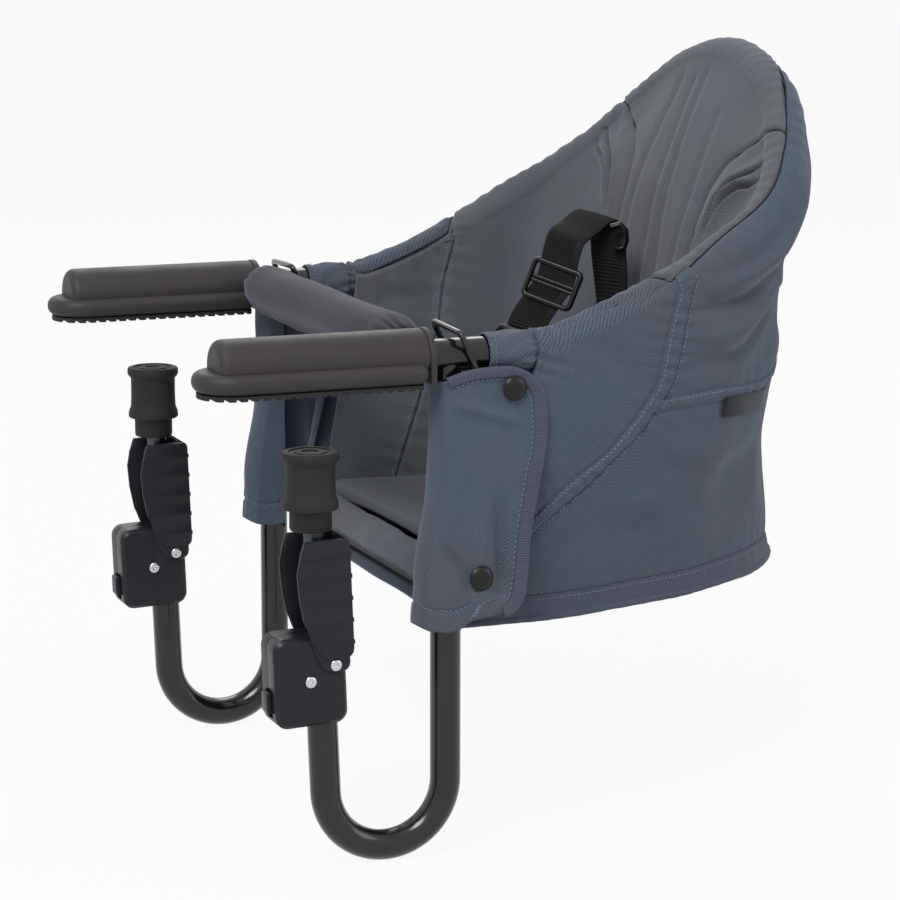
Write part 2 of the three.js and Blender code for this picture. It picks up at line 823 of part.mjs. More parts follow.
function buildLever(frame, tag) {
  const whole = sidePlate(leverOutline(leverFoot + leverLip, 0), 2 * leverOutside, 0, leverEdge);
  const inside = box(leverWebX + overrun * 2, 2 * leverInside, 2 * leverTop, [
    leverWebX - (leverWebX + overrun * 2) / 2,
    0,
    leverTop / 2,
  ]);
  const webFoot = box(overrun * 2, 2 * leverInside, 2 * (leverPivot.z + rivetHead), [leverWebX, 0, 0]);
  const pinHole = rod(rivetRadius + seatGap, 4 * leverOutside, "y", [leverPivot.x, 0, leverPivot.z], 14);
  add(frame, `lever_arm_${tag}`, cutBy(whole, inside, webFoot, pinHole), materials.housing);

  const grown = gripRubber + seatGap;
  const rubberInside = leverOutside + seatGap;
  const rubberOutside = rubberInside + gripRubber;
  const sleeve = sidePlate(leverOutline(gripFoot, grown), 2 * rubberOutside, 0);
  const hollow = box(4 * overrun, 2 * rubberInside, 3 * leverTop, [
    leverWebX + leverWall + seatGap - 2 * overrun,
    0,
    leverTop / 2,
  ]);
  const ribs = [];
  for (let i = 0; i < gripRibs; i++) {
    const z = lerp(gripFoot + gripRibMargin, leverTop - gripRibMargin, i / (gripRibs - 1));
    const span = leverWebX + leverWall + grown + gripRibHeight + leverOpenX;
    ribs.push(box(span, 2 * (rubberOutside + gripRibHeight), gripRibWidth, [span / 2 - leverOpenX, 0, z]));
  }
  const ribLimit = sidePlate(leverOutline(gripFoot, grown + gripRibHeight), 4 * rubberOutside, 0);
  const ribbed = joined(sleeve, shared(joined(...ribs, sleeve), ribLimit));
  const topCut = box(4 * overrun, 4 * rubberOutside, overrun, [0, 0, leverTop + overrun / 2 - seatGap]);
  add(frame, `lever_grip_${tag}`, cutBy(ribbed, hollow, topCut), materials.leverRubber);
}

// The post: a round rod above, and a toothed rack that runs down into the hook's bore
const postTop = (-tableThickness - footFloor - clampOrigin.z) / Math.cos(hookLean);

function buildPost(frame, tag) {
  const shape = new THREE.Shape();
  const teeth = Math.floor((rackTop - rackFoot) / rackPitch);
  shape.moveTo(rackRear, rackFoot);
  shape.lineTo(rackRear, rackTop);
  shape.lineTo(-rackFront, rackTop);
  for (let i = teeth - 1; i >= 0; i--) {
    const z = rackFoot + i * rackPitch;
    shape.lineTo(-rackFront, z + rackPitch * 0.8);
    shape.lineTo(-rackFront + rackToothDepth, z + rackPitch * 0.7);
    shape.lineTo(-rackFront, z + rackPitch * 0.1);
  }
  const rack = sidePlate(shape, 2 * rackHalfWidth, 0);
  const length = postTop - rackTop;
  const shaft = rod(postRadius, length + seatGap, "z", [0, 0, rackTop + length / 2 - seatGap / 2], 18);
  add(frame, `clamp_post_${tag}`, joined(rack, shaft), materials.darkSteel);
}

function buildFoot(tag, sign) {
  const profile = [
    [0, 0],
    [footRadius - footEdge, 0],
    [footRadius, -footEdge],
    [footRadius, -footRim],
    [footRadius - footWaistInset, -footRim - footStep],
    [footRadius - footWaistInset, footSkirt - footHeight],
    [footRadius - footLip, footStep - footHeight],
    [footRadius - footLip, -footHeight],
    [footNeckRadius, -footHeight - footChamfer],
    [footNeckRadius, footChamfer - footHeight - footNeck],
    [footNeckRadius - footChamfer, -footHeight - footNeck],
    [0, -footHeight - footNeck],
  ];
  const points = profile.map(([r, z]) => new THREE.Vector2(r, z));
  const bell = new THREE.LatheGeometry(points, 16).rotateX(Math.PI / 2);
  const rise = -tableThickness - clampOrigin.z;
  const x = clampOrigin.x - Math.tan(hookLean) * rise;
  bell.translate(x, sign * halfSpan, -tableThickness);
  const socket = rod(postRadius + seatGap, 2 * postTop, "z", [0, 0, seatGap], 18);
  socket.rotateY(-hookLean).translate(clampOrigin.x, sign * halfSpan, clampOrigin.z);
  add(chair, `foot_pad_${tag}`, cutBy(bell, socket), materials.soleRubber);
}

// The release pawl: a button low on the housing's front and a tooth in the rack above its pivot
function buildPawl(frame, tag) {
  const s = new THREE.Shape();
  const out = -housingFront - buttonProud;
  const top = buttonFoot + buttonHeight;
  const inX = housingWall + pawlShankInset - housingFront;
  s.moveTo(out, buttonFoot + buttonRound);
  s.quadraticCurveTo(out, buttonFoot, out + buttonStep, buttonFoot);
  s.lineTo(inX, buttonFoot);
  s.lineTo(inX, buttonFoot + buttonStep);
  s.lineTo(pawlPivot.x - pawlHalfNeck, pawlPivot.z - pawlToe);
  s.lineTo(pawlPivot.x + pawlHeel.x, pawlPivot.z - pawlHeel.z);
  const toothZ = pawlPivot.z + pawlThickness;
  const toothX = -rackFront - runGap;
  s.lineTo(toothX - rackToothDepth, toothZ - rackPitch);
  s.lineTo(toothX, toothZ - rackToothDepth / 2);
  s.lineTo(toothX - rackToothDepth / 2, toothZ);
  s.lineTo(pawlPivot.x - pawlHalfNeck, toothZ);
  s.lineTo(pawlPivot.x - pawlBack, pawlPivot.z);
  s.lineTo(inX + buttonStep, top - buttonRound / 2);
  s.lineTo(out + buttonRound, top);
  s.quadraticCurveTo(out, top, out, top - buttonRound);
  const plate = sidePlate(s, pawlThickness, 0);
  const hole = rod(rivetRadius + seatGap, 3 * pawlThickness, "y", [pawlPivot.x, 0, pawlPivot.z], 14);
  const pad = sidePlate(
    roundedOutline(out, buttonFoot, housingWall / 2 - housingFront, top, buttonRound),
    2 * buttonHalfWidth,
    0,
  );
  add(frame, `release_pawl_${tag}`, joined(cutBy(plate, hole), pad), materials.housing);
}

// Bails: a closed wire loop round each arm, leaning forward
function buildBails() {
  for (const { tag, sign } of sides) {
    const corners = [
      [bailOutside, bailAbove],
      [-bailInside, bailAbove + bailTilt],
      [-bailInside, -bailBelow],
      [bailOutside, -bailBelow],
    ];
    const points = [];
    const steps = 3;
    corners.forEach(([y, z], i) => {
      const before = corners[(i + 3) % 4];
      const after = corners[(i + 1) % 4];
      const toward = (to) => {
        const d = new THREE.Vector2(to[0] - y, to[1] - z).normalize();
        return new THREE.Vector2(y + d.x * bailCorner, z + d.y * bailCorner);
      };
      const start = toward(before);
      const end = toward(after);
      const bend = new THREE.QuadraticBezierCurve(start, new THREE.Vector2(y, z), end);
      for (let k = 0; k <= steps; k++) {
        const p = bend.getPoint(k / steps);
        points.push(new THREE.Vector3(0, sign * p.x, p.y));
      }
    });
    const loop = sweep(points, bailWire, 6, true);
    loop.rotateY(-bailLean).translate(bailX, sign * halfSpan, armAxisZ);
    add(chair, `wire_bail_${tag}`, loop, materials.paint);
  }
}

// Fold hinges: a tongue on the arm between the two cheeks of a fork on the hoop
function hingeLeaf(y, from, to, half, neck) {
  const s = new THREE.Shape();
  const r = hingeEyeRadius;
  const direction = Math.sign(to - from);
  s.moveTo(from, armAxisZ - r);
  s.lineTo(from + (direction * r) / 2, armAxisZ - neck);
  s.lineTo(to, armAxisZ - neck);
  s.lineTo(to, armAxisZ + neck);
  s.lineTo(from + (direction * r) / 2, armAxisZ + neck);
  s.lineTo(from, armAxisZ + r);
  s.absarc(from, armAxisZ, r, Math.PI / 2, 1.5 * Math.PI, direction < 0);
  return sidePlate(s, 2 * half, y);
}

function buildHinges() {
  const plugRadius = armRadius - armWall - seatGap;
  const cheekGap = hingeEyeRadius + runGap;
  for (const { tag, sign } of sides) {
    const y = sign * halfSpan;
    const pinHole = rod(hingePinRadius + seatGap, 4 * armRadius, "y", [hingeX, y, armAxisZ], 16);
    const tongue = hingeLeaf(y, hingeX, armRearX, tongueHalf, hingeNeck);
    const armPlugX = armRearX + plugOverlap - plugLength / 2;
    const armPlug = rod(plugRadius, plugLength, "x", [armPlugX, y, armAxisZ], 20);
    add(chair, `hinge_tongue_${tag}`, cutBy(joined(tongue, armPlug), pinHole), materials.darkSteel);

    const forkHalf = tongueHalf + seatGap + forkWall;
    const fork = hingeLeaf(y, hingeX, hoopStartX - forkInset, forkHalf, hingeEyeRadius);
    const slotLength = 2 * cheekGap;
    const slot = box(slotLength, 2 * (tongueHalf + seatGap), 4 * hingeEyeRadius, [
      hingeX + cheekGap - slotLength / 2,
      y,
      armAxisZ,
    ]);
    const hoopPlugX = hoopStartX - forkInset + plugLength / 2;
    const hoopPlug = rod(plugRadius, plugLength, "x", [hoopPlugX, y, armAxisZ], 20);
    add(chair, `hinge_fork_${tag}`, cutBy(joined(fork, hoopPlug), slot, pinHole), materials.darkSteel);

    const pin = rod(hingePinRadius, 2 * (forkHalf + plugOverlap), "y", [hingeX, y, armAxisZ], 16);
    add(chair, `hinge_pin_${tag}`, pin, materials.steel);
  }
}

// The hoop's centre line from the left hinge over the back to the right hinge
const hoopCurve = new THREE.CatmullRomCurve3(
  [
    ...hoopShares.map(([x, y, z]) => [x, -y, z]),
    ...hoopShares.slice(0, -1).reverse(),
  ].map(([x, y, z]) => new THREE.Vector3(hingeX + x * hoopDepth, y * halfSpan, armAxisZ + z * hoopRise)),
  false,
  "centripetal",
);
hoopCurve.arcLengthDivisions = 400;

function buildHoop() {
  const points = hoopCurve.getSpacedPoints(30);
  const start = (y) => new THREE.Vector3(hoopStartX, y, armAxisZ);
  points[0] = start(-halfSpan);
  points[points.length - 1] = start(halfSpan);
  const plugRoom = sides.map(({ sign }) =>
    rod(armRadius - armWall, 2 * (plugLength + forkInset), "x", [hoopStartX, sign * halfSpan, armAxisZ], 20),
  );
  add(chair, "hoop_tube", cutBy(sweep(points, armRadius, 12), ...plugRoom), materials.paint);
}

// Plan outlines that the cover and the lining come down to
function planCurve(frontX, rearX, halfWidth, z) {
  const row = baseShares.map(([x, y]) => [frontX + x * (rearX - frontX), -y * halfWidth]);
  const mirrored = row.slice(0, -1).reverse().map(([x, y]) => [x, -y]);
  const points = [...row, ...mirrored].map(([x, y]) => new THREE.Vector3(x, y, z));
  const curve = new THREE.CatmullRomCurve3(points, false, "centripetal");
  curve.arcLengthDivisions = 400;
  return curve;
}

const coverBase = planCurve(baseFrontX, baseRearX, baseHalfWidth, baseZ + basePlate + seatGap);
const linerBase = planCurve(linerFrontX, linerRearX, linerBaseHalf, linerFoot);

function hoopFrame(u) {
  const centre = hoopCurve.getPointAt(u);
  const along = hoopCurve.getTangentAt(u);
  const out = new THREE.Vector3(along.y, -along.x, 0).normalize();
  const over = along.clone().cross(out);
  if (over.z < 0) over.negate();
  return { centre, out, over };
}

// How far a place on the hoop belongs to the back rather than to a side, from 0 to 1
function backness(out) {
  return THREE.MathUtils.smoothstep(Math.abs(out.x), 0.25, 0.95);
}

// The outer cover: v from the roll seam round the tube and down to the base
const rollPart = 0.08;
const rollRowShare = 0.25;
const linerRowShare = 0.42;
function coverPoint(u, v) {
  const { centre, out, over } = hoopFrame(u);
  if (v < rollPart) {
    const a = rollSeamAngle * (1 - v / rollPart);
    centre.addScaledVector(out, rollRadius * Math.cos(a));
    return centre.addScaledVector(over, rollRadius * Math.sin(a));
  }
  const t = (v - rollPart) / (1 - rollPart);
  const back = backness(out);
  const from = centre.addScaledVector(out, rollRadius);
  const p = from.lerp(coverBase.getPointAt(u), t);
  const backSwell = backBulge * smoothShare(backBulgeShares, t);
  const sideSwell = sideBulge * Math.sin(Math.PI * t);
  return p.addScaledVector(out, lerp(sideSwell, backSwell, back));
}

// The lining: v from the roll seam over the top of the tube and down inside to the seat
const linerRoll = 0.16;
const seamStep = 0.05;
function linerPoint(u, v) {
  const { centre, out, over } = hoopFrame(u);
  if (v < linerRoll) {
    const a = THREE.MathUtils.lerp(rollSeamAngle + seamStep, Math.PI, v / linerRoll);
    centre.addScaledVector(out, rollRadius * Math.cos(a));
    return centre.addScaledVector(over, rollRadius * Math.sin(a));
  }
  const t = (v - linerRoll) / (1 - linerRoll);
  const back = backness(out);
  const from = centre.addScaledVector(out, -rollRadius);
  const p = from.lerp(linerBase.getPointAt(u), t);
  return p.addScaledVector(out, -back * linerBulge * Math.sin(Math.PI * Math.pow(t, 0.7)));
}

// Gives the roll round the tube a fixed share of the rows
function splitRows(v, rowShare, roll, end) {
  if (v <= rowShare) return (roll * v) / rowShare;
  return lerp(roll, end, (v - rowShare) / (1 - rowShare));
}

const seamGapShare = 0.002;
const waistGapShare = 0.011;

// Where the seam between the upper panels and the lower panel runs
function waistAt(u) {
  return readShares(waistShares, Math.min(u, 1 - u));
}

function buildCover() {
  const patch = (name, u0, u1, v0, v1, columns, rows) => {
    const at = (u, v) => {
      const uu = lerp(u0, u1, u);
      const start = v0(uu);
      if (start > 0) return coverPoint(uu, lerp(start, v1(uu), v));
      return coverPoint(uu, splitRows(v, rollRowShare, rollPart, v1(uu)));
    };
    add(chair, name, sheet(at, () => clothWall, columns, rows), materials.cloth);
  };
  const top = () => 0;
  const aboveWaist = (u) => waistAt(u) - seamGapShare;
  const belowWaist = (u) => waistAt(u) + waistGapShare;
  const foot = () => 1;
  patch("side_panel_L", 0, panelSplitShare - seamGapShare, top, aboveWaist, 5, 8);
  patch("side_panel_R", 1 - panelSplitShare + seamGapShare, 1, top, aboveWaist, 5, 8);
  patch("back_panel", panelSplitShare, 1 - panelSplitShare, top, aboveWaist, 27, 8);
  patch("lower_panel", 0, 1, belowWaist, foot, 24, 4);
}

function buildLining() {
  const patch = (u0, u1, columns, rows, wall, ripple) => {
    const at = (u, v) => {
      const uu = lerp(u0, u1, u);
      const vv = splitRows(v, linerRowShare, linerRoll, 1);
      const p = linerPoint(uu, vv);
      if (ripple) p.addScaledVector(hoopFrame(uu).out, ripple(u, vv));
      return p;
    };
    return sheet(at, wall, columns, rows);
  };
  const wall = () => -linerWall;
  add(chair, "wing_pad_L", patch(0, wingShare - seamGapShare, 9, 10, wall), materials.lining);
  add(chair, "wing_pad_R", patch(1 - wingShare + seamGapShare, 1, 9, 10, wall), materials.lining);
  const swell = (v) => THREE.MathUtils.smoothstep(v, linerRoll, linerRoll + 0.12);
  const swellAt = (v) => swell(splitRows(v, linerRowShare, linerRoll, 1));
  const fill = padThickness - linerWall;
  const thick = (u, v) => -(linerWall + fill * swellAt(v) * Math.sin(Math.PI * u) ** 0.4);
  const channel = (u, v) => channelDepth * swell(v) * (1 - Math.abs(Math.sin(Math.PI * u * padChannels)));
  const pad = patch(wingShare, 1 - wingShare, 3 * padChannels, 10, thick, channel);
  add(chair, "back_pad", pad, materials.lining);
}

function planShape(curve, inset, from = 0, to = 1, count = 24) {
  const centre = new THREE.Vector2((baseFrontX + baseRearX) / 2, 0);
  const points = [];
  for (let i = 0; i <= count; i++) {
    const u = lerp(from, to, i / count);
    const p = curve.getPointAt(u);
    const along = curve.getTangentAt(u);
    const out = new THREE.Vector2(along.y, -along.x).normalize();
    if (out.dot(new THREE.Vector2(p.x, p.y).sub(centre)) < 0) out.negate();
    points.push(new THREE.Vector2(p.x - out.x * inset, p.y - out.y * inset));
  }
  return new THREE.Shape(points);
}

function plate(shape, z0, thickness, bevel = 0) {
  return new THREE.ExtrudeGeometry(shape, {
    depth: thickness - 2 * bevel,
    bevelEnabled: bevel > 0,
    bevelThickness: bevel,
    bevelSize: bevel,
    bevelOffset: -bevel,
    bevelSegments: 1,
  }).translate(0, 0, z0 + bevel);
}

function buildBase() {
  const outline = planShape(coverBase, -baseOutset);
  add(chair, "base_cover", plate(outline, baseZ, basePlate, baseEdge), materials.binding);
  const boardZ = baseZ + basePlate + seatGap;
  const front = box(4 * baseHalfWidth, 4 * baseHalfWidth, 3 * boardThickness, [
    linerFrontX - 2 * baseHalfWidth - boardFrontInset,
    0,
    boardZ,
  ]);
  const board = cutBy(plate(planShape(coverBase, boardInset), boardZ, boardThickness, boardEdge), front);
  add(chair, "base_board", board, materials.housing);
}

const cushionFoot = baseZ + basePlate + boardThickness + 2 * seatGap;
const cushionEndShare = 0.94;

// The cushion's upper side: u across, v from the front edge to the rear
function cushionTop(u, v) {
  const edge = Math.sin(Math.PI * u) ** 0.5 * Math.sin(Math.PI * lerp(0.04, 0.96, v)) ** 0.4;
  const tuft = tuftDepth * (1 - Math.abs(Math.sin(Math.PI * v * cushionTufts)));
  const rim = cushionRimShare * (cushionHeight - cushionCrown);
  return cushionFoot + rim + edge * (cushionHeight - rim - tuft);
}

// Height of the cushion's middle at a place along X
function cushionTopAt(x) {
  const length = cushionEndShare * (linerRearX - cushionEdge - cushionFrontX);
  return cushionTop(0.5, (x - cushionFrontX) / length);
}

function buildCushion() {
  const rearX = linerRearX - cushionEdge;
  const half = linerBaseHalf - cushionEdge;
  // Rows run from the rear rim to the front edge, columns across
  const rim = (u, x) => {
    const share = (x - cushionFrontX) / (rearX - cushionFrontX);
    let w = half;
    for (let i = 1; i < baseShares.length; i++) {
      const [x0, y0] = baseShares[i - 1];
      const [x1, y1] = baseShares[i];
      if (share >= x0 && share <= x1) w = half * lerp(y0, y1, (share - x0) / (x1 - x0));
    }
    return (u - 0.5) * 2 * w;
  };
  const top = (u, v) => {
    const x = lerp(cushionFrontX, lerp(cushionFrontX, rearX, cushionEndShare), v);
    return new THREE.Vector3(x, rim(u, x), cushionTop(u, v));
  };
  const columns = 10;
  const rows = 12;
  const positions = [];
  for (let layer = 0; layer < 2; layer++) {
    for (let j = 0; j <= rows; j++) {
      for (let i = 0; i <= columns; i++) {
        const p = top(i / columns, j / rows);
        positions.push(p.x, p.y, layer ? cushionFoot : p.z);
      }
    }
  }
  add(chair, "seat_cushion", gridBody(positions, columns, rows), materials.lining);
}

// Cuffs: the cloth sleeve that runs from the arm over the hinge
function buildCuffs() {
  for (const { tag, sign } of sides) {
    const length = hoopStartX - cuffRearGap - cuffFrontX;
    const at = [cuffFrontX + length / 2, sign * halfSpan, armAxisZ];
    const tube = rod(rollRadius, length, "x", at, 20);
    const bore = rod(rollRadius - clothWall, length + overrun, "x", at, 20);
    add(chair, `sleeve_cuff_${tag}`, cutBy(tube, bore), materials.cloth);
  }
}

// Belt: one web loop with two slides, and the strap between the legs
function buildHarness() {
  const at = beltPath.map((p) => new THREE.Vector3(...p));
  for (const end of [at[0], at[at.length - 1]]) {
    end.z = cushionTopAt(end.x) + 2 * seatGap;
  }
  const across = beltAcross.map((p) => new THREE.Vector3(...p));
  add(chair, "harness_webbing", strap(at, across, webWidth, webThickness, 26), materials.webbing);
  const curve = new THREE.CatmullRomCurve3(at, false, "centripetal");
  const sideways = new THREE.CatmullRomCurve3(across, false, "centripetal");
  const { width, height, corner, thickness } = slideOuter;
  const outline = roundedOutline(-width / 2, -height / 2, width / 2, height / 2, corner);
  const slotHeight = (height - 3 * slideBar) / 2;
  for (const end of [-1, 1]) {
    const low = end < 0 ? -height / 2 + slideBar : slideBar / 2;
    const reach = width / 2 - slideBar;
    const slot = roundedOutline(-reach, low, reach, low + slotHeight, slideSlotCorner);
    outline.holes.push(new THREE.Path(slot.getPoints(2)));
  }
  for (const [name, share] of [
    ["belt_slide_upper", upperSlideShare],
    ["belt_slide_lower", lowerSlideShare],
  ]) {
    const shape = { depth: thickness, bevelEnabled: false, curveSegments: 3 };
    const frame = new THREE.ExtrudeGeometry(outline, shape);
    const along = curve.getTangent(share);
    const side = sideways.getPoint(share);
    side.addScaledVector(along, -side.dot(along)).normalize();
    const facing = new THREE.Vector3().crossVectors(side, along);
    const place = new THREE.Matrix4().makeBasis(side, along, facing);
    place.setPosition(curve.getPoint(share).addScaledVector(facing, slideGap));
    add(chair, name, bareGeometry(frame.applyMatrix4(place)), materials.buckle);
  }
  const foot = cushionTopAt(crotchX) + seatGap;
  const tall = crotchTop - foot;
  const crotch = box(crotchThickness, crotchWidth, tall, [crotchX, 0, foot + tall / 2]);
  add(chair, "crotch_strap", crotch, materials.webbing);
}

// The tag in the waist seam, left bare
function buildTag() {
  const lifted = (u, v) => {
    const uu = lerp(tagFromShare, tagToShare, u);
    const vv = waistAt(uu) + tagDropShare + tagHeightShare * v;
    return coverPoint(uu, vv).addScaledVector(hoopFrame(uu).out, tagLift);
  };
  add(chair, "blank_tag", sheet(lifted, () => -tagThickness, 8, 2), materials.webbing);
}

// Front flaps: cloth that wraps each hook's long leg and closes on the outside with two snaps
function buildFlaps() {
  const outsideY = hookRadius + flapOutside;
  const insideY = hookRadius + flapInside;
  for (const { tag, sign } of sides) {
    const y0 = sign * halfSpan;
    const face = (u, v) => {
      const reach = readShares(flapRearShares, v) * flapReach;
      const flare = flapFlare * THREE.MathUtils.smoothstep(v, 0.3, 1);
      const front = hookLegX - hookRadius - seatGap - flare;
      const topOutside = flapTopZ;
      const topInside = armAxisZ - armRadius - 2 * seatGap;
      let x;
      let y;
      let top;
      if (u < 0.5) {
        const t = u / 0.5;
        x = lerp(reach, front + flapOutside, t);
        y = outsideY;
        top = lerp(topOutside, topInside, THREE.MathUtils.smoothstep(t, 0.75, 1));
      } else if (u < 0.75) {
        const a = ((u - 0.5) / 0.25) * Math.PI;
        const mid = (outsideY - insideY) / 2;
        const r = (outsideY + insideY) / 2;
        y = mid + r * Math.cos(a);
        x = front + flapOutside - flapOutside * Math.sin(a);
        top = topInside;
      } else {
        const t = (u - 0.75) / 0.25;
        x = lerp(front + flapOutside, hookLegX + flapInnerReach, t);
        y = -insideY;
        top = topInside;
      }
      const fromMiddle = Math.min(1, Math.abs(x - flapFootMiddle) / flapFootHalf);
      const z = lerp(top, flapFoot + flapFootRise * fromMiddle ** 1.6, v);
      return new THREE.Vector3(x, y0 + sign * y, z);
    };
    const flap = sheet(face, () => -sign * flapWall, 14, 7);
    add(chair, `front_flap_${tag}`, flap, materials.cloth);

    const places = [
      ["upper", upperSnap],
      ["lower", lowerSnap],
    ];
    for (const [place, at] of places) {
      const y = sign * (halfSpan + outsideY + flapWall + seatGap);
      const dome = new THREE.LatheGeometry(
        [
          [0, 0],
          [snapRadius, 0],
          [snapRadius, snapHeight * 0.35],
          [snapRadius * 0.8, snapHeight * 0.75],
          [snapRadius * 0.4, snapHeight],
          [0, snapHeight],
        ].map(([r, h]) => new THREE.Vector2(r, h)),
        14,
      );
      if (sign < 0) dome.rotateX(Math.PI);
      dome.translate(at.x, y, at.z);
      add(chair, `snap_${place}_${tag}`, bareGeometry(dome), materials.buckle);
    }
  }
}

chair.name = "hook_on_table_chair";
buildArms();
buildBumper();
buildGrips();
buildHooks();
for (const { tag, sign } of sides) {
  const frame = clampFrame(sign);
  buildHousing(frame, tag, sign);
  buildRivet(frame, `lever_rivet_${tag}`, leverPivot, leverOutside + seatGap);
  buildRivet(frame, `pawl_rivet_${tag}`, pawlPivot, housingHalfDepth + seatGap);
  buildLever(frame, tag);
  buildPost(frame, tag);
  buildPawl(frame, tag);
  buildFoot(tag, sign);
}
buildBails();
buildHinges();
buildHoop();
buildCover();
buildLining();
buildBase();
buildCushion();
buildCuffs();
buildFlaps();
buildHarness();
buildTag();

export default chair;
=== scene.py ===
"""Hook-on child's seat: the sewn cover, pads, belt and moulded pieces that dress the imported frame."""

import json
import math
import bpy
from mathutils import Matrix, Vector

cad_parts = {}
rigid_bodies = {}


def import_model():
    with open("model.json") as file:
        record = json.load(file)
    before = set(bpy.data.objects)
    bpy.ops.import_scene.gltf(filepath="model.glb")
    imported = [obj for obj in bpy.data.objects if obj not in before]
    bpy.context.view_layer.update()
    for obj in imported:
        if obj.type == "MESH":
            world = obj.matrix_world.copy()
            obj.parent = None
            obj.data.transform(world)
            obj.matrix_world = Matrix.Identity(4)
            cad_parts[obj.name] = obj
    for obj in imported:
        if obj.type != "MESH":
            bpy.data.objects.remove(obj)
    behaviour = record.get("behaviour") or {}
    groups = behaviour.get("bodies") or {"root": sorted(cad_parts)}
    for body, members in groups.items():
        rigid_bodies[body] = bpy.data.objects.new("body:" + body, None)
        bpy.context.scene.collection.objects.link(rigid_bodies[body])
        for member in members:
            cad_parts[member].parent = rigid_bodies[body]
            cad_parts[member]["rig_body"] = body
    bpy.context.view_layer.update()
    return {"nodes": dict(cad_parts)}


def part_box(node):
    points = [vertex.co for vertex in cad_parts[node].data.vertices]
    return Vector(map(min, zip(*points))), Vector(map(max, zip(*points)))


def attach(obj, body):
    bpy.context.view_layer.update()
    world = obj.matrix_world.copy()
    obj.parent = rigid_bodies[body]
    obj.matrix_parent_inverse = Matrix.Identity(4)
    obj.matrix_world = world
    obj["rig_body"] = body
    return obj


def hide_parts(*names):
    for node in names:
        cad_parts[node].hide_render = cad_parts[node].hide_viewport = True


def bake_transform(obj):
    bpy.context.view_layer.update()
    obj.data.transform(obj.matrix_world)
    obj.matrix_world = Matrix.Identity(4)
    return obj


bl_info = {
    "name": "Hook-on child's seat",
    "version": (1, 0, 0),
    "blender": (4, 5, 0),
    "location": "3D View > Sidebar > Seat",
    "description": "Dresses a hook-on child's seat with sewn cloth, moulded grips, clamps and a belt",
    "category": "Object",
}

import bpy
import numpy as np
from bpy.props import FloatProperty, FloatVectorProperty, PointerProperty
from bpy.types import Operator, Panel, PropertyGroup
from mathutils import Matrix, Vector

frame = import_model()
NODES = frame["nodes"]
MM = 0.001
SIDES = (("L", -1), ("R", 1))


def tint(red, green, blue):
    """A colour written as it looks on screen, from 0 to 255, turned linear."""
    out = []
    for value in (red, green, blue):
        c = value / 255
        out.append(c / 12.92 if c <= 0.04045 else ((c + 0.055) / 1.055) ** 2.4)
    return (*out, 1.0)


class SeatFinish(PropertyGroup):
    """Colours and sewing sizes that a user would change."""

    cloth: FloatVectorProperty(name="Cloth", description="Outer cover", size=4, subtype="COLOR",
                               min=0, max=1, default=tint(75, 87, 101))
    lining: FloatVectorProperty(name="Lining", description="Inside of the seat", size=4, subtype="COLOR",
                                min=0, max=1, default=tint(88, 93, 100))
    binding: FloatVectorProperty(name="Binding", description="Bound edges and bands", size=4,
                                 subtype="COLOR", min=0, max=1, default=tint(71, 77, 95))
    thread: FloatVectorProperty(name="Thread", description="Sewing thread", size=4, subtype="COLOR",
                                min=0, max=1, default=tint(112, 128, 150))
    webbing: FloatVectorProperty(name="Webbing", description="Belt webbing and tag", size=4,
                                 subtype="COLOR", min=0, max=1, default=tint(17, 17, 19))
    rubber: FloatVectorProperty(name="Grip rubber", description="Caps on the arms", size=4,
                                subtype="COLOR", min=0, max=1, default=tint(50, 46, 47))
    stitch_pitch: FloatProperty(name="Stitch pitch", description="From one stitch to the next",
                                default=0.0034, min=0.001, unit="LENGTH")
    stitch_length: FloatProperty(name="Stitch length", description="Thread that shows in one stitch",
                                 default=0.0024, min=0.0005, unit="LENGTH")
    fold_depth: FloatProperty(name="Fold depth", description="How strongly the cloth folds and puckers",
                              default=1.15, min=0, max=3, subtype="FACTOR")


def chosen():
    """The settings of the sidebar."""
    return bpy.context.scene.seat_finish


# Curves and surfaces, in millimetres

STEP = 2e-3  # the share over which directions are read
KNOT_STEPS = 48  # steps of a route from one knot to the next
BATCH = 4000  # points that are measured at once
SEAM_SAMPLES = 140
FOLD_SAMPLES = 60


def run_of(points):
    """The length run so far at each point of a line."""
    return np.concatenate([[0], np.cumsum(np.linalg.norm(np.diff(points, axis=0), axis=1))])


def read_at(at, known, rows):
    """Rows of numbers, read between their known places."""
    return np.stack([np.interp(at, known, axis) for axis in rows.T], axis=1)


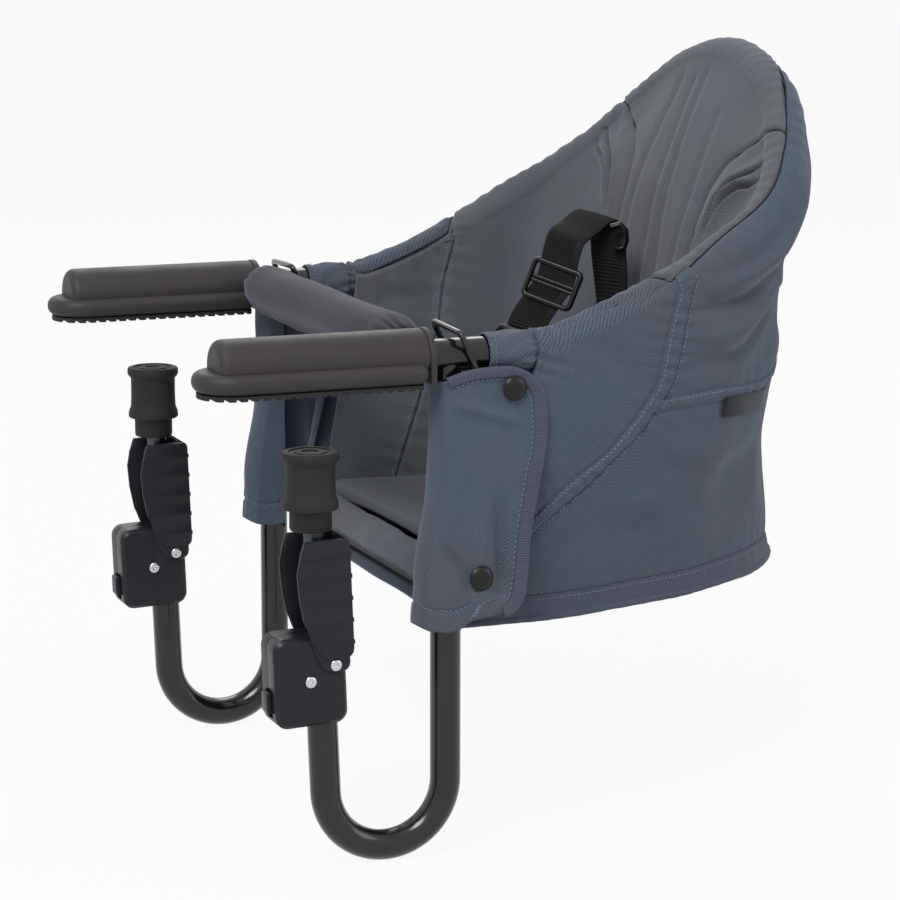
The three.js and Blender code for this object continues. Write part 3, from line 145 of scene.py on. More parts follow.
class Route:
    """A smooth curve through points, read by its share of length or of knots."""

    def __init__(self, points):
        p = np.array(points, float)
        p = np.vstack([2 * p[0] - p[1], p, 2 * p[-1] - p[-2]])
        t = np.linspace(0, 1, KNOT_STEPS, endpoint=False)[:, None]
        rows = []
        for p0, p1, p2, p3 in zip(p, p[1:], p[2:], p[3:]):
            pairs = ((p0, p1), (p1, p2), (p2, p3))
            d0, d1, d2 = (max(np.linalg.norm(b - a), 1e-6) ** 0.5 for a, b in pairs)
            m1 = ((p1 - p0) / d0 - (p2 - p0) / (d0 + d1) + (p2 - p1) / d1) * d1
            m2 = ((p2 - p1) / d1 - (p3 - p1) / (d1 + d2) + (p3 - p2) / d2) * d1
            rows.append(p1 * (2 * t**3 - 3 * t**2 + 1) + m1 * (t**3 - 2 * t**2 + t)
                        + p2 * (-2 * t**3 + 3 * t**2) + m2 * (t**3 - t**2))
        self.points = np.vstack([*rows, p[-2:-1]])
        length = run_of(self.points)
        self.length = length[-1]
        self.share = length / length[-1]
        self.knots = np.linspace(0, 1, len(self.points))

    def at(self, share, by_knot=False):
        known = self.knots if by_knot else self.share
        share = np.clip(np.atleast_1d(share), 0, 1)
        return read_at(share, known, self.points)

    def along(self, share, by_knot=False):
        share = np.atleast_1d(share)
        return unit(self.at(share + STEP, by_knot) - self.at(share - STEP, by_knot))


def unit(vectors):
    return vectors / np.maximum(np.linalg.norm(vectors, axis=1, keepdims=True), 1e-9)


def ease(x, low, high):
    t = np.clip((x - low) / (high - low), 0, 1)
    return t * t * (3 - 2 * t)


def bell(x, width):
    """A smooth bump that is 1 at zero."""
    return np.exp(-((x / width) ** 2))


def both_halves(shares):
    """A list of shares for the left half, continued with its mirror image."""
    rows = [(x, -y, *rest) for x, y, *rest in shares]
    return rows + [(x, -y, *rest) for x, y, *rest in rows[-2::-1]]


HINGE_X = 56.0
HALF_SPAN = 175.0
ARM_Z = 18.0
RIM_DEPTH = 242
RIM_HEIGHT = 174
RIM = Route([(HINGE_X + x * RIM_DEPTH, y * HALF_SPAN, ARM_Z + z * RIM_HEIGHT) for x, y, z in both_halves([
    (0.074, 1, 0), (0.09, 1, 0), (0.112, 1, 0.001), (0.165, 1.003, 0.024), (0.27, 1.01, 0.078),
    (0.43, 1.025, 0.18), (0.56, 1.02, 0.27), (0.69, 1, 0.37), (0.785, 0.94, 0.465),
    (0.9, 0.775, 0.64), (0.96, 0.57, 0.795), (0.99, 0.31, 0.925), (1, 0, 0.985)])])
PLAN = both_halves([(0, 1), (0.22, 0.985), (0.45, 0.945), (0.66, 0.87), (0.83, 0.72), (0.945, 0.44), (1, 0)])


def hem_top(u, height=13.0):
    """The line where the bound hem begins, at an even height above its edge."""
    drop = np.linalg.norm(HEM.at(u) - RIM.at(u), axis=1)
    top = 1 - height / drop
    return top if np.ndim(u) else top[0]


def plan_route(front, rear, half, height):
    return Route([(front + x * (rear - front), y * half, height) for x, y in PLAN])


HEM = plan_route(26, 311, 163, -157.25)
FLOOR_EDGE = plan_route(40, 240, 147, -149)
ROLL_RADIUS = 14.0
ROLL_PART = 0.08
LINING_ROLL = 0.16
BULGE = Route([(i / 10, 15 * b) for i, b in enumerate(
    [0, 0.4, -0.35, -0.6, -0.5, -0.2, -0.4, -0.55, -0.35, -0.13, 0])])
WAIST = np.array([(0, 0.81), (0.02, 0.75), (0.044, 0.695), (0.07, 0.635), (0.088, 0.59), (0.104, 0.54),
                  (0.121, 0.48), (0.136, 0.415), (0.17, 0.437), (0.205, 0.466), (0.278, 0.545),
                  (0.35, 0.582), (0.5, 0.595)])


def from_front(u):
    return np.minimum(u, 1 - u)


def waist_at(u):
    return np.interp(from_front(u), WAIST[:, 0], WAIST[:, 1])


def seam_angle(u):
    """Where the cover meets the lining on the roll, in radians above the outer side."""
    known = [0, 0.098, 0.104, 0.11, 0.116, 0.121, 0.126, 0.14, 0.16, 0.18, 0.2, 0.22, 0.24,
             0.26, 0.28, 0.3, 0.32, 0.34, 0.36, 0.38, 0.4, 0.42, 0.44, 0.46, 0.48, 0.5]
    angles = [150, 150, 146, 128, 98, 66, 42, 47, 58, 72, 84, 86, 82,
              78, 84, 92, 94, 95, 88, 78, 64, 52, 44, 38, 32, 28]
    return np.radians(np.interp(from_front(u), known, angles))


def rim_frame(u):
    centre = RIM.at(u)
    along = RIM.along(u)
    past = (np.minimum(u, 0) + np.maximum(u - 1, 0))[:, None] * RIM.length
    centre = centre + along * past
    out = unit(np.stack([along[:, 1], -along[:, 0], 0 * along[:, 0]], axis=1))
    over = np.cross(along, out)
    over *= np.where(over[:, 2:] < 0, -1, 1)
    return centre, out, over


def backness(out):
    return ease(np.abs(out[:, :1]), 0.25, 0.95)


def cover_rest(u, v):
    """The outer cover before its folds: v from the roll seam down to the hem."""
    centre, out, over = rim_frame(u)
    v = v[:, None]
    angle = seam_angle(u)[:, None] * (1 - np.clip(v / ROLL_PART, -0.2, 1))
    rolled = centre + ROLL_RADIUS * (out * np.cos(angle) + over * np.sin(angle))
    t = np.clip((v - ROLL_PART) / (1 - ROLL_PART), 0, 1.1)
    back = backness(out)
    foot = HEM.at(u)
    lift = -4 + 9 * ease(from_front(u), 0.08, 0.36)
    foot[:, 2] += lift
    swell = back * np.interp(t, BULGE.points[:, 0], BULGE.points[:, 1]) + (1 - back) * 7 * np.sin(math.pi * t)
    hung = (centre + out * ROLL_RADIUS) * (1 - t) + foot * t + out * swell
    return np.where(v < ROLL_PART, rolled, hung)


def lining_rest(u, v):
    """The lining before its folds: v from the roll seam over the rim and down to the seat."""
    centre, out, over = rim_frame(u)
    v = v[:, None]
    start = seam_angle(u)[:, None]
    angle = start + (math.pi - start) * np.clip(v / LINING_ROLL, -0.2, 1)
    rolled = centre + ROLL_RADIUS * (out * np.cos(angle) + over * np.sin(angle))
    t = np.clip((v - LINING_ROLL) / (1 - LINING_ROLL), 0, 1)
    hung = (centre - out * ROLL_RADIUS) * (1 - t) + FLOOR_EDGE.at(u) * t
    hung = hung - out * backness(out) * 27 * np.sin(math.pi * t**0.85) ** 1.4
    return np.where(v < LINING_ROLL, rolled, hung)


def shares_route(points):
    """A line on a surface, as a function that gives u and v at a share of its length."""
    route = Route([(u, v, 0) for u, v in points])
    return lambda s: (route.at(s)[:, 0], route.at(s)[:, 1])


def mirrored(line):
    return lambda s: (1 - line(s)[0], line(s)[1])


def nearest(points, samples):
    """Distance to a sampled line, and how far along it the nearest point lies."""
    length = run_of(samples)
    best = np.full(len(points), 1e9)
    where = np.zeros(len(points))
    for start in range(0, len(points), BATCH):
        batch = slice(start, start + BATCH)
        block = points[batch]
        k = np.linalg.norm(block[:, None] - samples[None], axis=2).argmin(axis=1)
        for first in (np.maximum(k - 1, 0), np.minimum(k, len(samples) - 2)):
            a, step = samples[first], samples[first + 1] - samples[first]
            share = np.clip(((block - a) * step).sum(axis=1) / np.maximum((step**2).sum(axis=1), 1e-9), 0, 1)
            away = np.linalg.norm(block - a - step * share[:, None], axis=1)
            closer = away < best[batch]
            along = length[first] + share * (length[first + 1] - length[first])
            best[batch] = np.where(closer, away, best[batch])
            where[batch] = np.where(closer, along, where[batch])
    return best, where, length[-1]


def ripple(points, size, seed):
    """Slow, even waves with no direction, from -1 to 1."""
    rng = np.random.default_rng(seed)
    total = np.zeros(len(points))
    for _ in range(7):
        direction = unit(rng.normal(size=(1, 3)))[0] / (size * rng.uniform(0.7, 1.6))
        total += np.sin(points @ direction * 2 * math.pi + rng.uniform(0, 2 * math.pi))
    return total / 4


class Cloth:
    """A surface with sewn lines, which pull the cloth in and pucker it, and soft folds."""

    def __init__(self, rest, facing, waves, seed):
        self.rest = rest
        self.facing = facing
        self.waves = waves
        self.seed = seed
        self.seams = []
        self.folds = []
        self.extra = None

    def sampled(self, line, count=SEAM_SAMPLES):
        return self.rest(*line(np.linspace(0, 1, count)))

    def seam(self, line, depth=0.9, width=1.8, pucker=0.5, pitch=11, reach=11, both=True):
        for place in (line, mirrored(line)) if both else (line,):
            self.seams.append((self.sampled(place), depth, width, pucker, pitch, reach))

    def fold(self, points, height, width, both=True):
        line = shares_route(points)
        for place in (line, mirrored(line)) if both else (line,):
            self.folds.append((self.sampled(place, FOLD_SAMPLES), height, width))

    def raised(self, u, v, points):
        height = np.zeros(len(points))
        for size, amount in self.waves:
            height += amount * ripple(points, size, self.seed + int(size))
        for samples, sunk, width, pucker, pitch, reach in self.seams:
            away, along, _ = nearest(points, samples)
            height -= sunk * bell(away, width)
            phase = 2 * math.pi * along / pitch + 1.9 * np.sin(along / 17 + self.seed)
            near = np.exp(-away / reach) * (1 - bell(away, 1.5 * width))
            height += pucker * np.sin(phase) * near
        for samples, tall, width in self.folds:
            away, along, total = nearest(points, samples)
            ends = np.sin(math.pi * np.clip(along / total, 0.02, 0.98)) ** 0.7
            height += tall * ends * bell(away, width)
        height *= chosen().fold_depth
        if self.extra:
            height += self.extra(u, v, points)
        return height

    def place(self, u, v, lift=0.0):
        """Points on the finished cloth, and its normals."""
        u = np.atleast_1d(u).astype(float)
        v = np.atleast_1d(v).astype(float)
        points = self.rest(u, v)
        du = self.rest(np.clip(u + STEP, 0, 1), v) - self.rest(np.clip(u - STEP, 0, 1), v)
        dv = self.rest(u, v + STEP) - self.rest(u, v - STEP)
        normal = unit(np.cross(du, dv)) * self.facing
        height = self.raised(u, v, points)
        return points + normal * (height + lift)[:, None], normal


# Lines of the sewn cover, read off the seat's left side as shares of the surface
BAND_FRONT = shares_route([(0.1295, 0.0), (0.1275, 0.06), (0.1273, 0.19), (0.1273, 0.256), (0.1284, 0.336),
                           (0.1203, 0.396), (0.1075, 0.461), (0.0934, 0.513), (0.0737, 0.549),
                           (0.0543, 0.596), (0.0385, 0.656), (0.012, 0.74)])
BAND_REAR = shares_route([(0.1485, 0.0), (0.144, 0.06), (0.1445, 0.214), (0.1457, 0.291), (0.1439, 0.369),
                          (0.1326, 0.437), (0.1209, 0.491), (0.1043, 0.54), (0.0884, 0.592),
                          (0.071, 0.634), (0.0541, 0.679), (0.03, 0.775)])
WAIST_UPPER = shares_route([(0.136, 0.392), (0.1695, 0.4216), (0.2045, 0.4508), (0.2784, 0.53),
                            (0.35, 0.568), (0.43, 0.578), (0.5, 0.58)])
WAIST_LOWER = shares_route([(0.132, 0.43), (0.1605, 0.4489), (0.1995, 0.4811), (0.2668, 0.5535),
                            (0.35, 0.594), (0.43, 0.606), (0.5, 0.608)])
HEM_LINE = shares_route([(u, hem_top(u) + 0.002) for u in np.linspace(0, 1, 25)])
ROLL_SEAM = shares_route([(0.0, 0.004), (0.1, 0.002), (0.25, 0.002), (0.5, 0.002), (0.75, 0.002),
                          (0.9, 0.002), (1.0, 0.004)])
FRONT_EDGE = shares_route([(0.02, 0.044), (0.06, 0.047), (0.08, 0.056), (0.1, 0.065), (0.112, 0.057),
                           (0.12, 0.035), (0.126, 0.002)])
CUFF_SEAM = shares_route([(0.004, -0.02), (0.004, 0.1), (0.003, 0.16)])


# Each fold as its line, its height and its width
COVER_FOLDS = (
    (((0.05, 0.042), (0.065, 0.0427), (0.085, 0.05), (0.1, 0.0533), (0.108, 0.0533)), -2.8, 2.2),
    (((0.015, 0.03), (0.03, 0.14), (0.045, 0.26)), 2.0, 5),
    (((0.02, 0.12), (0.05, 0.3), (0.07, 0.45)), 2.2, 10),
    (((0.05, 0.1), (0.09, 0.24), (0.11, 0.36)), -2.0, 8),
    (((0.0, 0.35), (0.03, 0.45), (0.05, 0.56)), 1.8, 8),
    (((0.15, 0.1), (0.19, 0.15), (0.25, 0.16), (0.3, 0.13)), 4.4, 6),
    (((0.15, 0.17), (0.2, 0.22), (0.26, 0.23)), -4.2, 5),
    (((0.15, 0.24), (0.2, 0.3), (0.29, 0.31)), 3.8, 7),
    (((0.16, 0.34), (0.23, 0.38), (0.3, 0.37)), -3.4, 6),
    (((0.25, 0.2), (0.29, 0.32), (0.33, 0.4)), 3.2, 8),
    (((0.14, 0.56), (0.22, 0.64), (0.32, 0.68)), 2.2, 12),
    (((0.13, 0.52), (0.16, 0.6), (0.22, 0.7)), -1.8, 8),
    (((0.05, 0.84), (0.14, 0.76), (0.25, 0.78)), -2.0, 12),
    (((0.1, 0.66), (0.17, 0.74), (0.21, 0.86)), 1.8, 10),
    (((0.06, 0.88), (0.1, 0.8), (0.16, 0.68)), 1.8, 8),
    (((0.3, 0.2), (0.33, 0.4), (0.31, 0.52)), 1.8, 12),
    (((0.33, 0.66), (0.32, 0.8), (0.34, 0.9)), 1.8, 13),
    (((0.42, 0.12), (0.45, 0.3), (0.5, 0.45)), 1.6, 16),
    (((0.4, 0.66), (0.47, 0.76), (0.5, 0.88)), -1.4, 16),
)


def make_cover():
    cover = Cloth(cover_rest, -1, ((95, 1.0), (42, 0.5)), 3)
    cover.seam(BAND_FRONT, pucker=0.6, reach=13)
    cover.seam(BAND_REAR, pucker=0.35)
    cover.seam(WAIST_UPPER, depth=0.7, pucker=0.2, pitch=17)
    cover.seam(WAIST_LOWER, depth=0.8, pucker=0.3, pitch=15)
    cover.seam(HEM_LINE, depth=0.9, pucker=0.3, pitch=14, reach=16, both=False)
    cover.seam(ROLL_SEAM, depth=1.8, width=2.1, pucker=0.6, reach=12, pitch=16, both=False)
    cover.seam(FRONT_EDGE, depth=1.7, width=1.5, pucker=0.3, pitch=15, reach=7)
    cover.seam(CUFF_SEAM, depth=1.2, width=1.5, pucker=0.9, reach=14, pitch=10)
    for fold in COVER_FOLDS:
        cover.fold(*fold)
    return cover


CHANNELS = (((0.447, 0.24), (0.442, 0.3), (0.436, 0.42), (0.44, 0.6), (0.445, 0.97)),
            ((0.503, 0.19), (0.498, 0.28), (0.489, 0.41), (0.48, 0.52), (0.478, 0.97)),
            ((0.522, 0.2), (0.5185, 0.304), (0.515, 0.44), (0.52, 0.97)),
            ((0.55, 0.19), (0.556, 0.27), (0.5655, 0.41), (0.565, 0.97)))
WING_EDGE = ((0.0, 0.325), (0.04, 0.3293), (0.164, 0.341), (0.211, 0.362), (0.253, 0.382), (0.287, 0.394),
             (0.323, 0.4045), (0.359, 0.4085), (0.42, 0.408), (0.6, 0.395), (1.0, 0.375))


def wing_edge(v):
    known = np.array(WING_EDGE)
    return np.interp(v, known[:, 0], known[:, 1])


def pad_swell(u, v, points):
    """How far the filled back pad stands out between its channels."""
    edge = wing_edge(v)
    s = (u - edge) / (1 - 2 * edge)
    inside = np.clip(np.sin(math.pi * np.clip(s, 0, 1)), 0, 1) ** 0.5
    return 5.0 * inside * ease(v, 0.12, 0.42) * (1 - 0.5 * ease(v, 0.8, 1))


INNER_BAND_REAR = shares_route([(0.1285, 0.0), (0.118, 0.026), (0.112, 0.05), (0.1065, 0.1), (0.107, 0.172),
                                (0.104, 0.3), (0.1076, 0.424), (0.104, 0.6), (0.094, 0.95)])
INNER_BAND_FRONT = shares_route([(0.126, -0.006), (0.115, 0.002), (0.106, 0.004), (0.1025, 0.05), (0.1, 0.172),
                                 (0.096, 0.3), (0.0996, 0.424), (0.096, 0.6), (0.086, 0.95)])
POCKET_UPPER = ((0.3, 0.15), (0.3183, 0.2018), (0.3392, 0.2473), (0.3542, 0.2801), (0.3632, 0.3096),
                (0.3683, 0.3368), (0.375, 0.39))
POCKET_LOWER = ((0.288, 0.165), (0.3045, 0.2101), (0.3246, 0.2442),
                (0.3369, 0.2694), (0.3491, 0.2987), (0.3571, 0.3245), (0.364, 0.36))
LINING_FOLDS = (
    (POCKET_UPPER, 6.0, 10),
    (POCKET_UPPER, -12.0, 2.0),
    (POCKET_LOWER, 4.0, 6),
    (POCKET_LOWER, -9.5, 1.8),
    (((0.3, 0.1), (0.33, 0.15), (0.36, 0.24), (0.385, 0.32), (0.39, 0.45)), 2.4, 8),
    (((0.16, 0.03), (0.2, 0.05), (0.235, 0.06)), 1.6, 7),
    (((0.1, 0.25), (0.14, 0.5), (0.2, 0.72)), 2.6, 14),
    (((0.15, 0.2), (0.21, 0.42), (0.27, 0.6)), -2.4, 12),
    (((0.05, 0.3), (0.08, 0.55), (0.12, 0.8)), 2.2, 12),
    (((0.24, 0.5), (0.29, 0.66), (0.33, 0.8)), 2.2, 12),
    (((0.02, 0.22), (0.07, 0.3), (0.11, 0.4)), -1.8, 7),
)


def make_lining():
    lining = Cloth(lining_rest, 1, ((90, 1.0), (38, 0.45)), 11)
    lining.extra = pad_swell
    lining.seam(ROLL_SEAM, depth=1.8, width=2.1, pucker=0.6, reach=10, pitch=13, both=False)
    lining.seam(INNER_BAND_REAR, depth=1.2, width=1.6, pucker=0.6, reach=12, pitch=12)
    edge = shares_route([(wing_edge(v), v) for v in (0.0, 0.06, 0.12, 0.17, 0.24, 0.32, 0.45, 0.6, 0.8, 1.0)])
    lining.seam(edge, depth=2.6, width=2.0, pucker=0.4, pitch=21, reach=12)
    for channel in CHANNELS:
        lining.seam(shares_route(channel), depth=1.5, width=4.2, pucker=0.12, pitch=23, reach=8, both=False)
    for fold in LINING_FOLDS:
        lining.fold(*fold)
    return lining


# Building with Blender's own tools


def clear():
    bpy.ops.object.select_all(action="DESELECT")


def active(piece):
    clear()
    piece.select_set(True)
    bpy.context.view_layer.objects.active = piece
    return piece


def named(piece, name):
    piece.name = name
    piece.data.name = name
    return piece


def modify(piece, kind, **values):
    """Adds a modifier, sets it and applies it."""
    active(piece)
    bpy.ops.object.modifier_add(type=kind)
    modifier = piece.modifiers[-1]
    for key, value in values.items():
        setattr(modifier, key, value)
    bpy.ops.object.modifier_apply(modifier=modifier.name)
    return piece


def settle(piece):
    """Puts a piece's place into its mesh."""
    active(piece)
    bpy.ops.object.transform_apply(location=True, rotation=True, scale=True)
    return piece


def smooth(piece, angle):
    active(piece)
    bpy.ops.object.shade_smooth_by_angle(angle=math.radians(angle))
    return piece


def coordinates(piece):
    out = np.empty(3 * len(piece.data.vertices))
    piece.data.vertices.foreach_get("co", out)
    return out.reshape(-1, 3)


def reshape(piece, points):
    piece.data.vertices.foreach_set("co", np.asarray(points, float).ravel())
    piece.data.update()
    return piece


def laid_grid(name, columns, rows, place, width, length, flip=False, turn=False):
    """A grid laid on a surface: place(u, v) gives points in millimetres; its UV map is in metres."""
    clear()
    bpy.ops.mesh.primitive_grid_add(x_subdivisions=columns, y_subdivisions=rows, size=1, calc_uvs=True)
    piece = named(bpy.context.object, name)
    flat = coordinates(piece)
    u = flat[:, 0] + 0.5
    v = flat[:, 1] + 0.5 if flip else 0.5 - flat[:, 1]
    reshape(piece, place(u, v) * MM)
    layer = piece.data.uv_layers.active
    uv = np.empty(2 * len(layer.data))
    layer.data.foreach_get("uv", uv)
    uv = uv.reshape(-1, 2) * (width * MM, length * MM)
    if turn:
        uv = uv[:, ::-1]
    layer.data.foreach_set("uv", uv.ravel())
    bpy.ops.object.shade_smooth()
    return piece


def start_edit(piece):
    """Opens a piece for editing, with all of it selected."""
    active(piece)
    bpy.ops.object.mode_set(mode="EDIT")
    bpy.ops.mesh.select_all(action="SELECT")


def end_edit(outwards=True):
    """Closes the editing, with all faces turned outwards."""
    if outwards:
        bpy.ops.mesh.select_all(action="SELECT")
        bpy.ops.mesh.normals_make_consistent(inside=False)
    bpy.ops.object.mode_set(mode="OBJECT")


def rounded(piece, width, segments=2, angle=60):
    """Rounds the edges that bend more than an angle."""
    return modify(piece, "BEVEL", width=width * MM, segments=segments, limit_method="ANGLE",
                  angle_limit=math.radians(angle))


def coated(piece, material):
    piece.data.materials.clear()
    piece.data.materials.append(material)
    return piece


def area_of(piece):
    return sum(face.area for face in piece.data.polygons)


def walled(piece, wall, offset=-1.0):
    """Gives a sheet its thickness."""
    return modify(piece, "SOLIDIFY", thickness=wall * MM, offset=offset, use_even_offset=False,
                  use_quality_normals=True)


def weld(piece, distance=0.01, turn=True):
    """Merges points that meet, and turns the faces of a closed piece outwards."""
    start_edit(piece)
    bpy.ops.mesh.remove_doubles(threshold=distance * MM)
    end_edit(turn)
    return piece


def tube(name, points, radius, sides, closed=False):
    """A round tube along points, in millimetres."""
    clear()
    bpy.ops.curve.primitive_bezier_curve_add()
    piece = named(bpy.context.object, name)
    curve = piece.data
    curve.splines.clear()
    spline = curve.splines.new("POLY")
    spline.points.add(len(points) - 1)
    spline.points.foreach_set("co", np.hstack([np.array(points) * MM, np.ones((len(points), 1))]).ravel())
    spline.use_cyclic_u = closed
    curve.dimensions = "3D"
    curve.bevel_depth = radius * MM
    curve.bevel_resolution = sides // 2 - 2
    curve.use_fill_caps = not closed
    active(piece)
    bpy.ops.object.convert(target="MESH")
    piece = named(bpy.context.object, name)
    weld(piece)
    return smooth(piece, 35)


def turned(name, profile, steps=48, axis="Z"):
    """A turned piece: a profile of radius and height, spun round Z and laid along an axis."""
    clear()
    mesh = bpy.data.meshes.new(name)
    edges = [(i, i + 1) for i in range(len(profile) - 1)]
    mesh.from_pydata([(r * MM, 0, z * MM) for r, z in profile], edges, [])
    piece = bpy.data.objects.new(name, mesh)
    bpy.context.scene.collection.objects.link(piece)
    start_edit(piece)
    bpy.ops.mesh.spin(steps=steps, angle=2 * math.pi, center=(0, 0, 0), axis=(0, 0, 1))
    bpy.ops.mesh.select_all(action="SELECT")
    bpy.ops.mesh.remove_doubles(threshold=1e-6)
    end_edit()
    if axis in ("Y", "-Y"):
        mesh.transform(Matrix.Rotation(math.radians(-90 if axis == "Y" else 90), 4, "X"))
    return smooth(piece, 38)


def refined(node, name, bevel, segments, angle):
    """A copy of a CAD node with merged faces and rounded edges."""
    piece = NODES[node].copy()
    piece.data = NODES[node].data.copy()
    bpy.context.scene.collection.objects.link(piece)
    piece.parent = None
    for key in list(piece.keys()):
        del piece[key]
    named(piece, name)
    weld(piece, 0.02)
    start_edit(piece)
    bpy.ops.mesh.dissolve_limited(angle_limit=math.radians(0.6))
    end_edit(outwards=False)
    return smooth(rounded(piece, bevel, segments, angle), 32)


def join(pieces, name):
    active(pieces[0])
    for piece in pieces:
        piece.select_set(True)
    bpy.ops.object.join()
    return named(bpy.context.object, name)


def dress(piece, material, *nodes, body=None):
    """Gives a finished piece its material, and ties it to the nodes that it stands for."""
    coated(piece, material)
    if nodes:
        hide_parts(*nodes)
    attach(piece, body or NODES[nodes[0]]["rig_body"])
    return piece


def finish_nodes(material, *nodes):
    """A better material on CAD nodes whose shape is kept."""
    for node in nodes:
        coated(NODES[node], material)
        for polygon in NODES[node].data.polygons:
            polygon.material_index = 0


THREAD_RADIUS = 0.36


def stitches(name, points, normals, body, pitch=None, length=None):
    """A row of sewn stitches along points in millimetres, as one mesh."""
    pitch = pitch or chosen().stitch_pitch / MM
    length = length or chosen().stitch_length / MM
    clear()
    bpy.ops.mesh.primitive_uv_sphere_add(segments=6, ring_count=4, radius=1)
    one = bpy.context.object
    shape = coordinates(one)
    faces = [tuple(face.vertices) for face in one.data.polygons]
    bpy.data.objects.remove(one)
    run = run_of(points)
    count = max(int(run[-1] / pitch), 1)
    at = (np.arange(count) + 0.5) * run[-1] / count
    centre = read_at(at, run, points)
    up = unit(read_at(at, run, normals))
    along = unit(read_at(at + 1, run, points) - read_at(at - 1, run, points))
    side = unit(np.cross(up, along))
    sized = shape * (length / 2, THREAD_RADIUS, THREAD_RADIUS * 0.8)
    corners = (centre[:, None] + sized[None, :, :1] * along[:, None] + sized[None, :, 1:2] * side[:, None]
               + sized[None, :, 2:] * up[:, None])
    mesh = bpy.data.meshes.new(name)
    rows = [tuple(i + k * len(shape) for i in face) for k in range(count) for face in faces]
    mesh.from_pydata((corners.reshape(-1, 3) * MM).tolist(), [], rows)
    piece = bpy.data.objects.new(name, mesh)
    bpy.context.scene.collection.objects.link(piece)
    active(piece)
    bpy.ops.object.shade_smooth()
    return dress(piece, thread_material(), body=body)


def sewn_row(name, cloth, line, lift, body, start=0.0, stop=1.0, **sizes):
    """Stitches along a line of shares on a cloth."""
    points, normals = cloth.place(*line(np.linspace(start, stop, 400)), lift)
    return stitches(name, points, normals, body, **sizes)


def band(name, cloth, low, high, rows, rise=1.1, flip=False, material=None):
    """A strip of folded cloth sewn on between two lines of shares."""
    sunk = 0.5
    pucker = 0.15

    def place(u, v):
        across = np.clip(u, 0, 1)
        edge = 1 - np.abs(2 * across - 1) ** 5
        lift = -sunk + (rise + sunk) * edge + pucker * np.sin(v * 150) * edge
        return cloth.place(*between(low, high, across)(v), lift)[0]
    first, last = cloth.sampled(low), cloth.sampled(high)
    middle = SEAM_SAMPLES // 2
    width = np.linalg.norm(first[middle] - last[middle])
    piece = laid_grid(name, 14, rows, place, width, run_of(first)[-1], flip)
    area = area_of(piece)
    walled(piece, 0.9)
    return dress(piece, material or band_material(), body="seat"), area


def between(first, second, share):
    """The line at a share of the way from one line to another."""
    def line(s):
        (u0, v0), (u1, v1) = first(s), second(s)
        return u0 + (u1 - u0) * share, v0 + (v1 - v0) * share
    return line


# Materials

FULL_TURN = 6.2832


class Tree:
    """Adds nodes to a shader tree and wires them."""

    def __init__(self, tree):
        self.tree = tree

    def add(self, kind, inputs=None, **settings):
        node = self.tree.nodes.new(kind)
        for key, value in settings.items():
            setattr(node, key, value)
        return self.fill(node, inputs or {})

    def fill(self, node, inputs):
        """Wires or sets a node's inputs."""
        for key, value in inputs.items():
            if isinstance(value, bpy.types.NodeSocket):
                self.tree.links.new(value, node.inputs[key])
            else:
                node.inputs[key].default_value = value
        return node

    def math(self, operation, a, b=0.0, clamp=False):
        return self.add("ShaderNodeMath", {0: a, 1: b}, operation=operation, use_clamp=clamp).outputs[0]

    def noise(self, vector, scale, detail=3.0, roughness=0.55):
        node = self.add("ShaderNodeTexNoise", {"Vector": vector, "Scale": scale, "Detail": detail,
                                               "Roughness": roughness})
        return node.outputs["Fac"]

    def between(self, value, low, high, to_low=0.0, to_high=1.0):
        node = self.add("ShaderNodeMapRange", {"Value": value, "From Min": low, "From Max": high,
                                               "To Min": to_low, "To Max": to_high}, clamp=True)
        return node.outputs["Result"]

    def mix(self, share, a, b):
        return self.add("ShaderNodeMix", {0: share, 6: a, 7: b}, data_type="RGBA").outputs[2]

    def scale(self, vector, share):
        node = self.add("ShaderNodeVectorMath", {0: vector, "Scale": share}, operation="SCALE")
        return node.outputs[0]

    def bump(self, height, distance, strength):
        node = self.add("ShaderNodeBump", {"Height": height, "Distance": distance, "Strength": strength})
        return node.outputs[0]

    def mottled(self, place, color, second, lint, zones):
        """The slow changes of colour over a piece, with painted sheen and shade in its broad zones on cloth."""
        return self.add("ShaderNodeGroup", {"Vector": place.outputs["Object"], "Zones": zones, "Color": color,
                                            "Second": second, "Lint": lint},
                        node_tree=mottle_effect()).outputs["Color"]


def effect(name, inputs, outputs, build):
    """A shader node group with named sockets, made once."""
    tree = bpy.data.node_groups.get(name)
    if tree:
        return tree
    tree = bpy.data.node_groups.new(name, "ShaderNodeTree")
    for label, kind, default in inputs:
        socket = tree.interface.new_socket(label, in_out="INPUT", socket_type=kind)
        if default is not None:
            socket.default_value = default
    for label, kind in outputs:
        tree.interface.new_socket(label, in_out="OUTPUT", socket_type=kind)
    nodes = Tree(tree)
    start = nodes.add("NodeGroupInput")
    results = build(nodes, start.outputs)
    end = nodes.add("NodeGroupOutput")
    for label, value in results.items():
        tree.links.new(value, end.inputs[label])
    return tree


